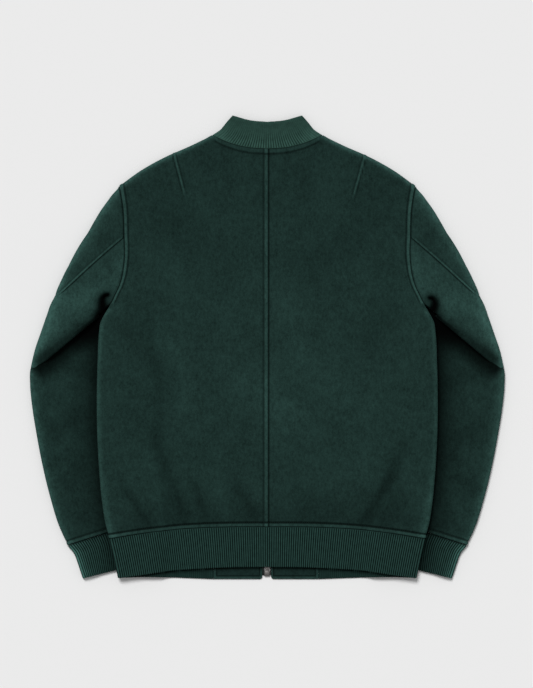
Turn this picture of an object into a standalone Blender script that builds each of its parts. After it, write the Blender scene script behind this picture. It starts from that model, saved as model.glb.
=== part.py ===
"""A zip-front bomber jacket of brushed wool with rib knit trims, laid face down with its back up.

Tables and sizes are in millimetres and become metres when a mesh is made. The floor is z = 0, the
collar points along +Y, the zip lies on x = 0 and the back is on top. Every cloth piece is a wall of
even thickness: a grid of points down the middle of the cloth, moved out by half the wall each way.
The right half (+X) is worked out from the tables, and the left half is its mirror.
"""

import math

import bmesh
import bpy
import numpy as np

MM = 0.001

# Cloth
WOOL = 2.4  # wall of the brushed wool
RIB = 3.2  # wall of the rib knit, which is folded double
TAPE = 0.8  # wall of the woven zip tape
SEAM = 0.3  # gap between two sewn pieces
AIR = 0.3  # gap between two layers that lie on each other

# Radii of the folded edges, to the middle of the cloth
SIDE_BEND = 4.0
SHOULDER_BEND = 3.5
COLLAR_BEND = 3.3
HEM_BEND = 2.6
TUCKED_BEND = 1.6
TUCKED_CUFF_BEND = 1.95
PLEAT_BEND = 3.0
PLEAT_DEPTH = 30.0  # how far the elbow pleat reaches back under the upper arm

# Outline of the right half in plan
NECK_POINT = (87.8, 342.4)
SHOULDER_TIP = (239.2, 259.8)
SHOULDER = [NECK_POINT, (128.5, 322.9), (158.4, 310.0), (205.7, 284.1), SHOULDER_TIP]
BACK_NECK = [(0.0, 315.7), (30.0, 318.3), (60.0, 327.0), NECK_POINT]
FRONT_NECK = [(6.0, 250.0), (32.0, 256.0), (60.0, 277.0), (78.0, 308.0), NECK_POINT]
COLLAR_CORNER = (54.6, 374.8)
COLLAR_FOLD = [NECK_POINT, (74.4, 351.4), (65.6, 362.3), COLLAR_CORNER]
BACK_COLLAR_TOP = [(0.0, 365.1), (28.0, 367.6), COLLAR_CORNER]
FRONT_COLLAR_TOP = [(6.0, 298.0), (20.0, 301.5), (36.0, 314.0), (47.0, 338.0), COLLAR_CORNER]

ELBOW = (381.5, -32.0)  # where the pleat's edge meets the outline
SEAM_ON_EDGE = (346.7, 75.0)  # where the sleeve's back seam runs over the edge
SLEEVE_EDGE = [
    (239.5, 259.7),
    (256.0, 238.7),
    (289.7, 186.9),
    (319.2, 135.0),
    SEAM_ON_EDGE,
    (362.8, 31.3),
    ELBOW,
    (383.0, -46.4),
    (380.7, -85.3),
    (372.9, -137.1),
    (363.1, -189.0),
    (350.6, -240.8),
    (334.3, -292.7),
    (321.3, -320.2),
]
ARMPIT = (258.0, 58.0)
PLEAT_INNER_END = (272.5, 51.0)
TUCKED_EDGE = [  # inner edge of the forearm, under the body
    ARMPIT,
    (236.0, 20.0),
    (222.0, -40.0),
    (214.0, -100.0),
    (209.0, -160.0),
    (206.0, -220.0),
    (206.0, -284.0),
]
CUFF_CORNER = (296.7, -373.6)
CUFF_OUTER = [SLEEVE_EDGE[-1], (311.8, -331.5), (306.4, -344.5), (302.1, -357.5), CUFF_CORNER]
CUFF_INNER = [TUCKED_EDGE[-1], (204.5, -320.0), (207.0, -351.6)]

# Half width of the body where it isn't sewn to a sleeve: x, y, hem to armpit
BODY_EDGE = [
    (239.6, -373.0),
    (246.7, -339.0),
    (253.6, -308.9),
    (259.4, -289.4),
    (265.2, -255.4),
    (269.4, -214.9),
    (274.3, -116.1),
    (274.3, -75.6),
    (273.1, -27.0),
    (268.9, 33.0),
    ARMPIT,
]
# Armhole seam at the heights that both panels and the sleeve share: y, x of the back, x of the front
ARMHOLE = [
    (58.0, 258.0, 258.0),
    (72.0, 252.0, 246.0),
    (100.0, 239.0, 229.0),
    (140.0, 231.5, 216.0),
    (178.0, 231.7, 214.0),
    (222.0, 233.4, 222.0),
    (259.8, 239.2, 239.2),
]
ARMHOLE_BOTTOM = 1  # row of ARMHOLE where the seam that shows ends
ARMHOLE_SEAM_START = 4  # row of ARMHOLE where the sleeve's back seam starts
SLEEVE_SEAM = [(231.7, 178.0), (283.5, 137.0), (318.0, 105.0), SEAM_ON_EDGE]

HEM_SIDE_Y = -308.9
BACK_HEM_SEAM = [(0.0, -288.3), (125.2, -289.8), (201.9, -298.8), (253.6, HEM_SIDE_Y)]
BACK_HEM_EDGE = [(0.0, -355.3), (125.2, -362.0), (201.9, -369.6), (239.6, -373.0)]
FRONT_HEM_Y = -310.0
FRONT_EDGE_Y = -375.3
FRONT_HEM_EDGE = [(81.6, FRONT_EDGE_Y), (140.0, -374.3), (204.0, -372.4), (239.6, -373.0)]
TAB_X = 81.3  # where the plain tab meets the hem band
FRONT_OPENING = 6.0  # each front's edge to the middle of the zip

# Heights of the middle of the cloth over the floor
TUCKED_SLEEVE_Z = 4.4
TUCKED_CUFF_Z = 5.5
CUFF_Z = 8.2
# What the front rises by where a sleeve or cuff is tucked under it: y, rise
TUCK_RISE = [(-380.0, 7.5), (-256.0, 7.5), (-204.0, 6.3), (62.0, 6.3), (100.0, 0.0)]
TUCK_RAMP = (54.0, 27.0)  # the rise starts and ends this far inside the tucked edge
# How far the back lies over the front: share of the way up, at the middle, at the edge
BACK_OVER_FRONT = [
    (0.00, 5.0, 8.0),
    (0.60, 5.0, 8.0),
    (0.80, 5.4, 8.0),
    (0.90, 7.6, 7.6),
    (0.95, 8.4, 7.2),
    (1.00, 7.0, 7.0),
]
# Height of the sleeve's upper layer along its outer edge: y, z
EDGE_HEIGHT = [
    (-320.2, 8.8),
    (-250.0, 9.4),
    (-100.0, 9.6),
    (-32.0, 10.0),
    (31.0, 12.4),
    (90.0, 14.0),
    (150.0, 13.2),
    (220.0, 10.2),
    (259.8, 8.2),
]
BAND_OVER_BAND = 4.8  # how far the back of the hem band lies over its front, in the middle
BESIDE_BODY = 24.0  # a sleeve or cuff stays low this far out from the body's edge
UPPER_ARM_SWELL = 3.0
PLEAT_TOP = (10.0, 16.4)  # height of the pleat's edge at the elbow and at the armpit
PLEAT_OPENS = 0.35  # share of the pleat's edge, from the elbow, over which it opens

# Zip
ZIP_HALF_WIDTH = 2.8
CHAIN_HEIGHT = 2.4
TAPE_X = (3.1, 16.0)
BOX_LOW, BOX_HIGH = (-4.9, -370.7, 1.0), (4.9, -354.6, 4.1)  # corners of the box at the zip's lower end
ZIP_TOP_Y = 296.0
COLLAR_RISE = 1.1  # the collar's front ends rise this much over the pull tab
TAPE_Z = (WOOL + AIR + TAPE / 2, RIB + COLLAR_RISE + AIR + TAPE / 2)  # on the fronts, on the collar
TAPE_RISE_Y = (212.0, 221.0, 230.0, 239.0, 248.0)  # where the zip climbs from the fronts onto the collar
SLIDER_Y = (279.0, 292.0)
SLIDER_HALF_WIDTH = 4.2
SLIDER_PLATE = 0.8
PULL_PIVOT = (0.0, 281.0, 1.5)
PULL_LENGTH = 30.0
PULL_HALF_WIDTH = 4.0


FIRST, LAST = np.array([0.0]), np.array([1.0])  # the two ends of a line


def through(knots, values):
    """A smooth rule through a table: a function of the knot, with a value for each."""
    knots = np.asarray(knots, float)
    values = np.asarray(values, float)
    slopes = np.gradient(values, knots, axis=0)

    def at(t):
        t = np.clip(np.asarray(t, float), knots[0], knots[-1])
        i = np.clip(np.searchsorted(knots, t, side="right") - 1, 0, len(knots) - 2)
        step = knots[i + 1] - knots[i]
        s = (t - knots[i]) / step
        if values.ndim > 1:
            step, s = step[..., None], s[..., None]
        start = (2 * s**3 - 3 * s**2 + 1) * values[i] + (s**3 - 2 * s**2 + s) * step * slopes[i]
        end = (3 * s**2 - 2 * s**3) * values[i + 1] + (s**3 - s**2) * step * slopes[i + 1]
        return start + end

    return at


def reach(points):
    """The share of its whole length at which each point of a line lies."""
    steps = np.linalg.norm(np.diff(np.asarray(points, float), axis=0), axis=1)
    total = np.concatenate([[0], np.cumsum(steps)])
    return total / total[-1]


def line(points):
    """A smooth line through points, as a function of the share of its length."""
    return through(reach(points), points)


def straight(start, end):
    """A straight line, as a function of the share of its length."""
    start, end = np.asarray(start, float), np.asarray(end, float)
    return lambda t: start + (end - start) * np.asarray(t, float)[..., None]


def smooth(t):
    """A soft step from 0 to 1."""
    t = np.clip(t, 0, 1)
    return t * t * (3 - 2 * t)


def unit(vectors):
    """Vectors made one long."""
    return vectors / np.maximum(np.linalg.norm(vectors, axis=-1, keepdims=True), 1e-9)


def column(table, index):
    """One column of a table."""
    return np.array([row[index] for row in table])


def patch(near, far, start, end, across, along):
    """Plan points (along, across) filled in between four edge lines."""
    a, v = across[None, :, None], along[:, None, None]
    low, high = near(across)[None], far(across)[None]
    left, right = start(along)[:, None], end(along)[:, None]
    low_corners = (1 - a) * near(FIRST) + a * near(LAST)
    high_corners = (1 - a) * far(FIRST) + a * far(LAST)
    corners = (1 - v) * low_corners + v * high_corners
    return (1 - v) * low + v * high + (1 - a) * left + a * right - corners


def with_height(plan, z):
    """Plan points with their heights."""
    return np.concatenate([plan, np.broadcast_to(z, plan.shape[:-1])[..., None]], axis=-1)


def turn_edge(grid, angle, radius, rise, steps=3, gap=SEAM / 2):
    """Turns the last column of a grid through an angle for each row, up or down, inside its outline.

    The strip that turns is a quarter circle long. Where the angle is 0 it lies flat.
    """
    angle = np.maximum(np.broadcast_to(angle, grid.shape[0]), 1e-3)[:, None]
    last_step = (grid[:, -1] - grid[:, -2])[:, :2]
    out = unit(last_step)
    arc = radius * math.pi / 2
    room = np.minimum(arc, 0.6 * np.linalg.norm(last_step, axis=-1, keepdims=True))
    arc = np.where(angle > 0.01, arc, room)
    base = grid[:, -1].copy()
    base[:, :2] -= out * arc * np.sin(angle) / angle
    strip = [base]
    for share in np.linspace(0, 1, steps + 1)[1:]:
        turned = angle * share * (1 - gap / arc)
        point = base.copy()
        point[:, :2] += out * arc * np.sin(turned) / angle
        point[:, 2:] += rise * arc * (1 - np.cos(turned)) / angle
        strip.append(point)
    return np.concatenate([grid[:, :-1], np.stack(strip, axis=1)], axis=1)


def facing(grid, axis, ring):
    """The direction in which a grid runs at each point, level or upright at its ends where it nearly is."""
    if ring:
        ends = [np.take(grid, [-1], axis), grid, np.take(grid, [0], axis)]
        grid = np.concatenate(ends, axis)
    step = unit(np.diff(grid, axis=axis))
    cells = step.shape[axis]
    middle = np.take(step, range(cells - 1), axis) + np.take(step, range(1, cells), axis)
    if ring:
        return unit(middle)
    first, last = np.take(step, [0], axis), np.take(step, [-1], axis)
    for end in (first, last):
        steep = np.abs(end[..., 2:])
        end *= np.where(steep < 0.6, (1, 1, 0), np.where(steep > 0.85, (0, 0, 1), (1, 1, 1)))
    return unit(np.concatenate([first, middle, last], axis))


def surface_material(name, colour, roughness, metallic=0.0):
    """A plain finish: its colour, how dull it is and whether it is metal."""
    material = bpy.data.materials.new(name)
    material.use_nodes = True
    surface = material.node_tree.nodes["Principled BSDF"]
    surface.inputs["Base Color"].default_value = (*colour, 1)
    surface.inputs["Roughness"].default_value = roughness
    surface.inputs["Metallic"].default_value = metallic
    return material


def add_object(name, mesh, finish):
    mesh.materials.append(finish)
    mesh.shade_smooth()
    mesh.set_sharp_from_angle(angle=math.radians(50))
    piece = bpy.data.objects.new(name, mesh)
    bpy.context.scene.collection.objects.link(piece)
    return piece


def wall(name, grid, thickness, finish, ring=False):
    """A closed wall of even thickness around a grid of points; a ring joins its last row to its first.

    The cut faces are split the same way in every piece, so two edges that twist side by side stay apart.
    """
    normal = unit(np.cross(facing(grid, 0, ring), facing(grid, 1, False)))
    rows, columns = grid.shape[:2]
    sheets = [grid + normal * thickness / 2, grid - normal * thickness / 2]
    mesh = bpy.data.meshes.new(name)
    shape = bmesh.new()
    outer, inner = ([[shape.verts.new(p * MM) for p in row] for row in sheet] for sheet in sheets)
    pairs = [(i, (i + 1) % rows) for i in range(rows if ring else rows - 1)]
    for i, k in pairs:
        for j in range(columns - 1):
            for side in (outer, inner):
                shape.faces.new((side[i][j], side[k][j], side[k][j + 1], side[i][j + 1]))
        for j in (0, columns - 1):
            shape.faces.new((outer[i][j], outer[k][j], inner[k][j]))
            shape.faces.new((outer[i][j], inner[k][j], inner[i][j]))
    for i in () if ring else (0, rows - 1):
        for j in range(columns - 1):
            shape.faces.new((outer[i][j], outer[i][j + 1], inner[i][j + 1], inner[i][j]))
    bmesh.ops.recalc_face_normals(shape, faces=shape.faces)
    shape.to_mesh(mesh)
    shape.free()
    return add_object(name, mesh, finish)


def both_sides(name, grid, thickness, finish, ring=False):
    """A piece from the tables and its mirror on the left."""
    wall(f"{name}_right", grid, thickness, finish, ring)
    wall(f"{name}_left", grid * (-1, 1, 1), thickness, finish, ring)


def mirrored_band(half):
    """A band that crosses x = 0, from its right half, whose last row lies there."""
    return np.concatenate([half, (half * (-1, 1, 1))[-2::-1]])


# ---------------------------------------------------------------- heights

body_edge_x = through(column(BODY_EDGE, 1), column(BODY_EDGE, 0))
edge_height = through(column(EDGE_HEIGHT, 0), column(EDGE_HEIGHT, 1))


def tuck_rise(x, y):
    """How much the front is raised by the sleeve and cuff tucked under it."""
    inner = TUCKED_EDGE + CUFF_INNER[1:]
    inner_x = np.interp(y, column(inner, 1)[::-1], column(inner, 0)[::-1])
    height = np.interp(y, column(TUCK_RISE, 0), column(TUCK_RISE, 1))
    start, end = TUCK_RAMP
    return height * smooth((x - inner_x + start) / (start - end))


def zip_rise(x, y):
    """How much the collar's front ends are raised by the slider and its pull tab."""
    return COLLAR_RISE * smooth((y - 225) / 30) * smooth((34 - x) / 22)


def back_over_front(share_across, share_up):
    """How far the back lies over the front, middle to middle."""
    shares = column(BACK_OVER_FRONT, 0)
    middle, edge = (np.interp(share_up, shares, column(BACK_OVER_FRONT, i)) for i in (1, 2))
    return middle + (edge - middle) * smooth((share_across - 0.55) / 0.45)


def armhole_height(x, y):
    """The height of the back panel along its armhole seam."""
    share_up = (y - HEM_SIDE_Y) / (SHOULDER_TIP[1] - HEM_SIDE_Y)
    return WOOL / 2 + tuck_rise(x, y) + back_over_front(1, share_up)


def pleat_opening(share):
    """How far the pleat has opened at a share of its edge, from the elbow inwards."""
    return smooth(share / PLEAT_OPENS)


def upper_arm_height(x, y):
    """The upper layer of the upper arm: from the armhole or the pleat's edge out to the sleeve's edge."""
    low, high = ARMHOLE[ARMHOLE_BOTTOM][0], SHOULDER_TIP[1]
    seam_x = np.interp(y, column(ARMHOLE, 0), column(ARMHOLE, 1))
    pleat_y, pleat_xs = [ELBOW[1], PLEAT_INNER_END[1], low], [ELBOW[0], PLEAT_INNER_END[0], seam_x.min()]
    pleat_x = np.interp(y, pleat_y, pleat_xs)
    share = (y - ELBOW[1]) / (PLEAT_INNER_END[1] - ELBOW[1])
    pleat_z = PLEAT_TOP[0] + (PLEAT_TOP[1] - PLEAT_TOP[0]) * pleat_opening(share)
    above = smooth((y - PLEAT_INNER_END[1]) / (low - PLEAT_INNER_END[1]))
    inner_x = np.where(y > low, seam_x, pleat_x)
    inner_z = pleat_z + (armhole_height(seam_x, np.clip(y, low, high)) - pleat_z) * above
    edge_z = edge_height(y)
    edge_points = np.array(SLEEVE_EDGE)
    edge_x = np.interp(y, edge_points[::-1, 1], edge_points[::-1, 0]) - (edge_z - WOOL / 2) / 2 * 1.3
    across = np.clip((x - inner_x) / np.maximum(edge_x - inner_x, 1), 0, 1)
    swell = UPPER_ARM_SWELL * smooth((high - y) / 90) * smooth((y - ELBOW[1]) / 70)
    return inner_z + (edge_z - inner_z) * across + swell * np.sin(math.pi * across)


def forearm_height(x, y):
    """The upper layer of the forearm: low where the body lies on it, full beside the body."""
    beside = smooth((x - body_edge_x(y) - BESIDE_BODY) / 30)
    return TUCKED_SLEEVE_Z + (edge_height(y) - TUCKED_SLEEVE_Z) * beside


# ---------------------------------------------------------------- body

ROWS_BELOW_ARMPIT = 8
NECK_COLUMNS = np.linspace(0, 1, 5)
NECK_SHARE = NECK_POINT[0] / SHOULDER_TIP[0]
ACROSS_BODY = np.concatenate([NECK_COLUMNS * NECK_SHARE, np.linspace(NECK_SHARE, 1, 8)[1:]])
SIDE_Y = np.concatenate([np.linspace(HEM_SIDE_Y, ARMPIT[1], ROWS_BELOW_ARMPIT), column(ARMHOLE, 0)[1:]])
UP_BODY = (SIDE_Y - HEM_SIDE_Y) / (SIDE_Y[-1] - HEM_SIDE_Y)


def body_panel(hem_seam, neck, middle_x, armhole_column, is_back):
    """Half of the back or one front, between its hem seam, side, armhole, shoulder, neck and middle.

    The back's columns run inwards and the front's outwards, so each faces out of the jacket.
    """
    neck, shoulder = line(neck), line(SHOULDER)

    def top(share):
        on_neck = neck(share / NECK_SHARE) - (0, SEAM / 2)
        on_shoulder = shoulder((share - NECK_SHARE) / (1 - NECK_SHARE))
        return np.where((share <= NECK_SHARE)[:, None], on_neck, on_shoulder)

    def side(share):
        y = HEM_SIDE_Y + share * (SHOULDER_TIP[1] - HEM_SIDE_Y)
        seam_x = np.interp(y, column(ARMHOLE, 0), column(ARMHOLE, armhole_column)) - SEAM / 2
        x = np.where(y > ARMPIT[1] + 1, seam_x, body_edge_x(y))
        return np.stack([x, y], axis=-1)

    def bottom(share):
        return hem_seam(share) + (0, SEAM / 2)

    middle = straight(bottom(FIRST)[0], top(FIRST)[0])
    plan = patch(bottom, top, middle, side, ACROSS_BODY, UP_BODY)
    plan[:, 0, 0] = middle_x
    z = WOOL / 2 + tuck_rise(plan[..., 0], plan[..., 1])
    if is_back:
        z = z + back_over_front(ACROSS_BODY[None, :], UP_BODY[:, None])
    else:
        z = z + zip_rise(plan[..., 0], plan[..., 1])
    rise = -1 if is_back else 1
    side_angle = math.pi / 2 * np.where(SIDE_Y < ARMPIT[1] - 1, 1, np.where(SIDE_Y < ARMPIT[1] + 1, 0.6, 0))
    grid = turn_edge(with_height(plan, z), side_angle, SIDE_BEND, rise)
    columns = grid.shape[1]
    is_neck = np.arange(columns) < len(NECK_COLUMNS) - 1
    is_corner = np.arange(columns) == len(NECK_COLUMNS) - 1
    top_angle = math.pi / 2 * np.where(is_neck, 0, np.where(is_corner, 0.5, 1))
    turned = turn_edge(grid.transpose(1, 0, 2), top_angle, SHOULDER_BEND, rise)
    turned = turned.transpose(1, 0, 2)
    return turned[:, ::-1] if is_back else turned


def collar():
    """The stand collar: a band from one front edge round the back of the neck to the other."""
    across = np.linspace(0, 1, 4)
    fold = line(COLLAR_FOLD)
    front_columns = np.linspace(0, 1, 5)
    parts = []

    def off_seam(share):
        return (SEAM / 2 + 0.6 * share[:, None] ** 4) * np.stack([-share, np.ones_like(share)], axis=-1)

    for neck, top, rise in ((FRONT_NECK, FRONT_COLLAR_TOP, 1), (BACK_NECK, BACK_COLLAR_TOP, -1)):
        seam, edge = line(neck), line(top)
        plan = patch(
            straight(neck[0], top[0]), fold, lambda t: seam(t) + off_seam(t), edge, across, front_columns
        )
        if rise > 0:
            z = RIB / 2 + zip_rise(plan[..., 0], plan[..., 1])
        else:
            middle = smooth((45 - plan[..., 0]) / 45)
            z = RIB / 2 + 2 * COLLAR_BEND - 2.2 * middle * smooth(across)[None, :]
        grid = with_height(plan, z).transpose(1, 0, 2)
        parts.append(turn_edge(grid, math.pi / 2, COLLAR_BEND, rise, gap=0).transpose(1, 0, 2))
    front, back = parts
    half = np.concatenate([front, back[-2::-1]])
    return mirrored_band(half)


def hem_band():
    """The rib band from one front tab round the back to the other."""
    across = np.linspace(0, 1, 3)
    fold = line([(BODY_EDGE[i][0], BODY_EDGE[i][1] - (SEAM if i == 2 else 0)) for i in (2, 1, 0)])
    front_seam = straight((TAB_X + SEAM, FRONT_HEM_Y - SEAM), (BODY_EDGE[2][0], HEM_SIDE_Y - SEAM))
    back_seam = line(BACK_HEM_SEAM)
    along_front = np.linspace(0, 1, 8)
    parts = []
    for seam, edge, along, rise in (
        (front_seam, line(FRONT_HEM_EDGE), along_front, 1),
        (lambda t: back_seam(t) - (0, SEAM), line(BACK_HEM_EDGE), ACROSS_BODY, -1),
    ):
        ends = (seam(FIRST)[0], edge(FIRST)[0])
        plan = patch(straight(*ends), fold, seam, edge, across, along)
        z = RIB / 2 + tuck_rise(plan[..., 0], plan[..., 1])
        if rise < 0:
            side = smooth((along - 0.55) / 0.45)[:, None]
            z = z + BAND_OVER_BAND + (2 * HEM_BEND - BAND_OVER_BAND) * side
        grid = with_height(plan, z).transpose(1, 0, 2)
        parts.append(turn_edge(grid, math.pi / 2, HEM_BEND, rise, gap=0).transpose(1, 0, 2))
    front, back = parts
    return mirrored_band(np.concatenate([front, back[-2::-1]]))


def hem_tab():
    """The plain tab between the zip and the hem band."""
    across, along = np.linspace(0, 1, 4), np.linspace(0, 1, 3)
    plan = patch(
        straight((FRONT_OPENING, FRONT_EDGE_Y), (TAB_X, FRONT_EDGE_Y)),
        straight((FRONT_OPENING, FRONT_HEM_Y - SEAM / 2), (TAB_X, FRONT_HEM_Y - SEAM / 2)),
        straight((FRONT_OPENING, FRONT_EDGE_Y), (FRONT_OPENING, FRONT_HEM_Y - SEAM / 2)),
        straight((TAB_X, FRONT_EDGE_Y), (TAB_X, FRONT_HEM_Y - SEAM / 2)),
        across,
        along,
    )
    return with_height(plan, np.full(plan.shape[:2], WOOL / 2))


# ---------------------------------------------------------------- sleeves

edge_line = line(SLEEVE_EDGE)
EDGE_REACH = reach(SLEEVE_EDGE)
ELBOW_SHARE = EDGE_REACH[SLEEVE_EDGE.index(ELBOW)]
SEAM_SHARE = EDGE_REACH[SLEEVE_EDGE.index(SEAM_ON_EDGE)]
ARMHOLE_SHARE = 0.42 * SEAM_SHARE  # the row that ends where the sleeve's back seam leaves the armhole
SEAM_ROWS = np.linspace(0, 1, 4)
HIDDEN_SEAM_ANGLE = 0.25 * math.pi  # round the edge from the floor side: the seam below the elbow
FOREARM_ROWS = 8
tucked_line = line(TUCKED_EDGE)
TUCKED_SHARES = np.linspace(0, 1, FOREARM_ROWS + 2)  # the armpit, the elbow's row, the forearm's rows


def edge_frame(share):
    """At a place on the sleeve's outer edge: the point, the outward direction and the bend's radius.

    At the shoulder's tip the bend is the end of the body's shoulder bend, which faces +Y.
    """
    nudge = 0.004
    point = edge_line(share)
    along = unit(edge_line(share + nudge) - edge_line(share - nudge))
    past_tip = smooth(np.asarray(share) / 0.05)[..., None]
    out = unit(np.stack([-along[..., 1], along[..., 0] + (1 - past_tip[..., 0]) * 9], axis=-1))
    radius = (edge_height(point[..., 1]) - WOOL / 2) / 2
    return point, out, radius


def bend_point(share, angle):
    """A point on the rounded outer edge, at an angle from the floor side (0) to the top (pi)."""
    point, out, radius = edge_frame(share)
    centre = point - out * radius
    plan = centre + out * radius * math.sin(angle)
    return np.array([plan[0], plan[1], WOOL / 2 + radius - radius * math.cos(angle)])


def seam_place(share, seam_point):
    """How far round the edge the seam lies: an angle, and the plan distance past the top of the bend."""
    if seam_point is None:
        return HIDDEN_SEAM_ANGLE, 0.0
    point, out, radius = edge_frame(share)
    inside = float(np.linalg.norm(seam_point - point))
    if inside >= radius:
        return math.pi, inside - radius
    return math.pi / 2 + math.acos(1 - inside / radius), 0.0


def bend_steps(start, end, count):
    """Angles round a bend, with a short first step so that a seam's cut face stands square."""
    first = math.copysign(min(0.12, 0.3 * abs(end - start)), end - start)
    return np.concatenate([[start], np.linspace(start + first, end, count)])


def sleeve_rows():
    """The rows that both sleeve pieces share: how far down the outer edge, and where the seam is."""
    back = np.array([(x, y) for y, x, _ in ARMHOLE])[ARMHOLE_SEAM_START:][::-1]
    seam = line(SLEEVE_SEAM)(SEAM_ROWS)
    back[0] += 0.25 * (back[1] - back[0])
    rows = list(zip(np.linspace(0, ARMHOLE_SHARE, len(back)), back))
    seam_shares = ARMHOLE_SHARE + (SEAM_SHARE - ARMHOLE_SHARE) * SEAM_ROWS
    rows += list(zip(seam_shares[1:], seam[1:]))
    middle = (SEAM_SHARE + ELBOW_SHARE) / 2
    rows += [(middle, None), (ELBOW_SHARE, None)]
    rows += [(s, None) for s in np.linspace(ELBOW_SHARE, 1, FOREARM_ROWS + 1)[1:]]
    return rows


def floor_ends():
    """Where the shared rows end on the floor side: at the front's armhole, then at the tucked edge."""
    hole = np.array([(x, y) for y, _, x in ARMHOLE])[::-1] + (SEAM / 2 + 0.1, 0)
    hole[0] += 0.25 * (hole[1] - hole[0])
    return np.concatenate([hole, tucked_line(TUCKED_SHARES[1:])])


def top_sleeve():
    """The upper sleeve piece: the floor side, the rounded outer edge and the back above the seam."""
    rows = sleeve_rows()
    point, out, radius = edge_frame(np.array([s for s, _ in rows]))
    inside = point - out * radius[:, None]
    ends = floor_ends()
    plan = inside[:, None] + (ends - inside)[:, None] * np.linspace(0, 1, 6)[:, None]
    floor = with_height(plan, np.full(plan.shape[:2], WOOL / 2))
    inner_angle = np.zeros(len(rows))
    inner_angle[-FOREARM_ROWS:] = math.pi / 2
    inner_angle[-FOREARM_ROWS - 1] = math.pi / 5
    floor = turn_edge(floor, inner_angle, TUCKED_BEND, 1, steps=2)
    flap = []
    for share, seam_point in rows:
        angle, past = seam_place(share, seam_point)
        strip = []
        if past > 2 * SEAM:
            top = bend_point(share, math.pi)[:2]
            for far_share in (1 - SEAM / 2 / past, 0.66, 0.33):
                plan = top + (seam_point - top) * far_share
                strip.append((*plan, upper_arm_height(plan[0], plan[1])))
            bends = np.linspace(math.pi, 0, 5)[:-1]
        else:
            bends = bend_steps(angle - SEAM / 2 / edge_frame(share)[2], 0, 7)[:-1]
        strip += [bend_point(share, b) for b in bends]
        flap.append(strip)
    return np.concatenate([np.array(flap), floor], axis=1)


def pleat_rows(base, share, direction):
    """Rows of the elbow pleat: over its edge, back under it, and down again to the forearm."""
    angle = math.radians(5) + (math.pi - math.radians(5)) * pleat_opening(share)
    depth = np.maximum(1.0, PLEAT_DEPTH * (share - PLEAT_OPENS) / (1 - PLEAT_OPENS))
    rows = []
    for part in np.linspace(0, 1, 4)[1:]:
        turned = angle * part
        rows.append((PLEAT_BEND * np.sin(turned), PLEAT_BEND * (1 - np.cos(turned))))
    ahead, down = rows[-1]
    ahead, down = ahead + depth * np.cos(angle), down + depth * np.sin(angle)
    rows.append((ahead, down))
    for part in np.linspace(0, 1, 4)[1:]:
        left = angle * (1 - part)
        more = PLEAT_BEND * (np.sin(angle) - np.sin(left))
        rows.append((ahead + more, down + PLEAT_BEND * (np.cos(left) - np.cos(angle))))
    grid = []
    for ahead, down in rows:
        row = base.copy()
        row[:, :2] += direction * ahead[:, None]
        row[:, 2] -= down
        grid.append(row)
    return np.array(grid)


BEND_COLUMNS = 3
TOP_COLUMNS = np.linspace(0, 1, 8)


def under_row(share, seam_point, inner_point, height):
    """One row of the under piece: from the seam, over the rest of the bend, across to its inner end."""
    angle, past = seam_place(share, seam_point)
    inner_point = np.asarray(inner_point, float)
    radius = edge_frame(share)[2]
    if past > 2 * SEAM:
        heading = unit(inner_point - seam_point)
        first = seam_point + heading * SEAM
        margin = min(2.0 * BEND_COLUMNS, 0.3 * np.linalg.norm(inner_point - seam_point))
        plans = [first + heading * d for d in np.linspace(0, margin, BEND_COLUMNS + 1)[:-1]]
        row = [(*p, height(*p)) for p in plans]
        top = first + heading * margin
    else:
        angles = bend_steps(angle + 1.5 * SEAM / radius, math.pi, BEND_COLUMNS)[:-1]
        row = [bend_point(share, b) for b in angles]
        top = bend_point(share, math.pi)[:2]
    for t in TOP_COLUMNS:
        p = top + (inner_point - top) * t
        row.append((*p, height(*p)))
    return np.array(row)


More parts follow.
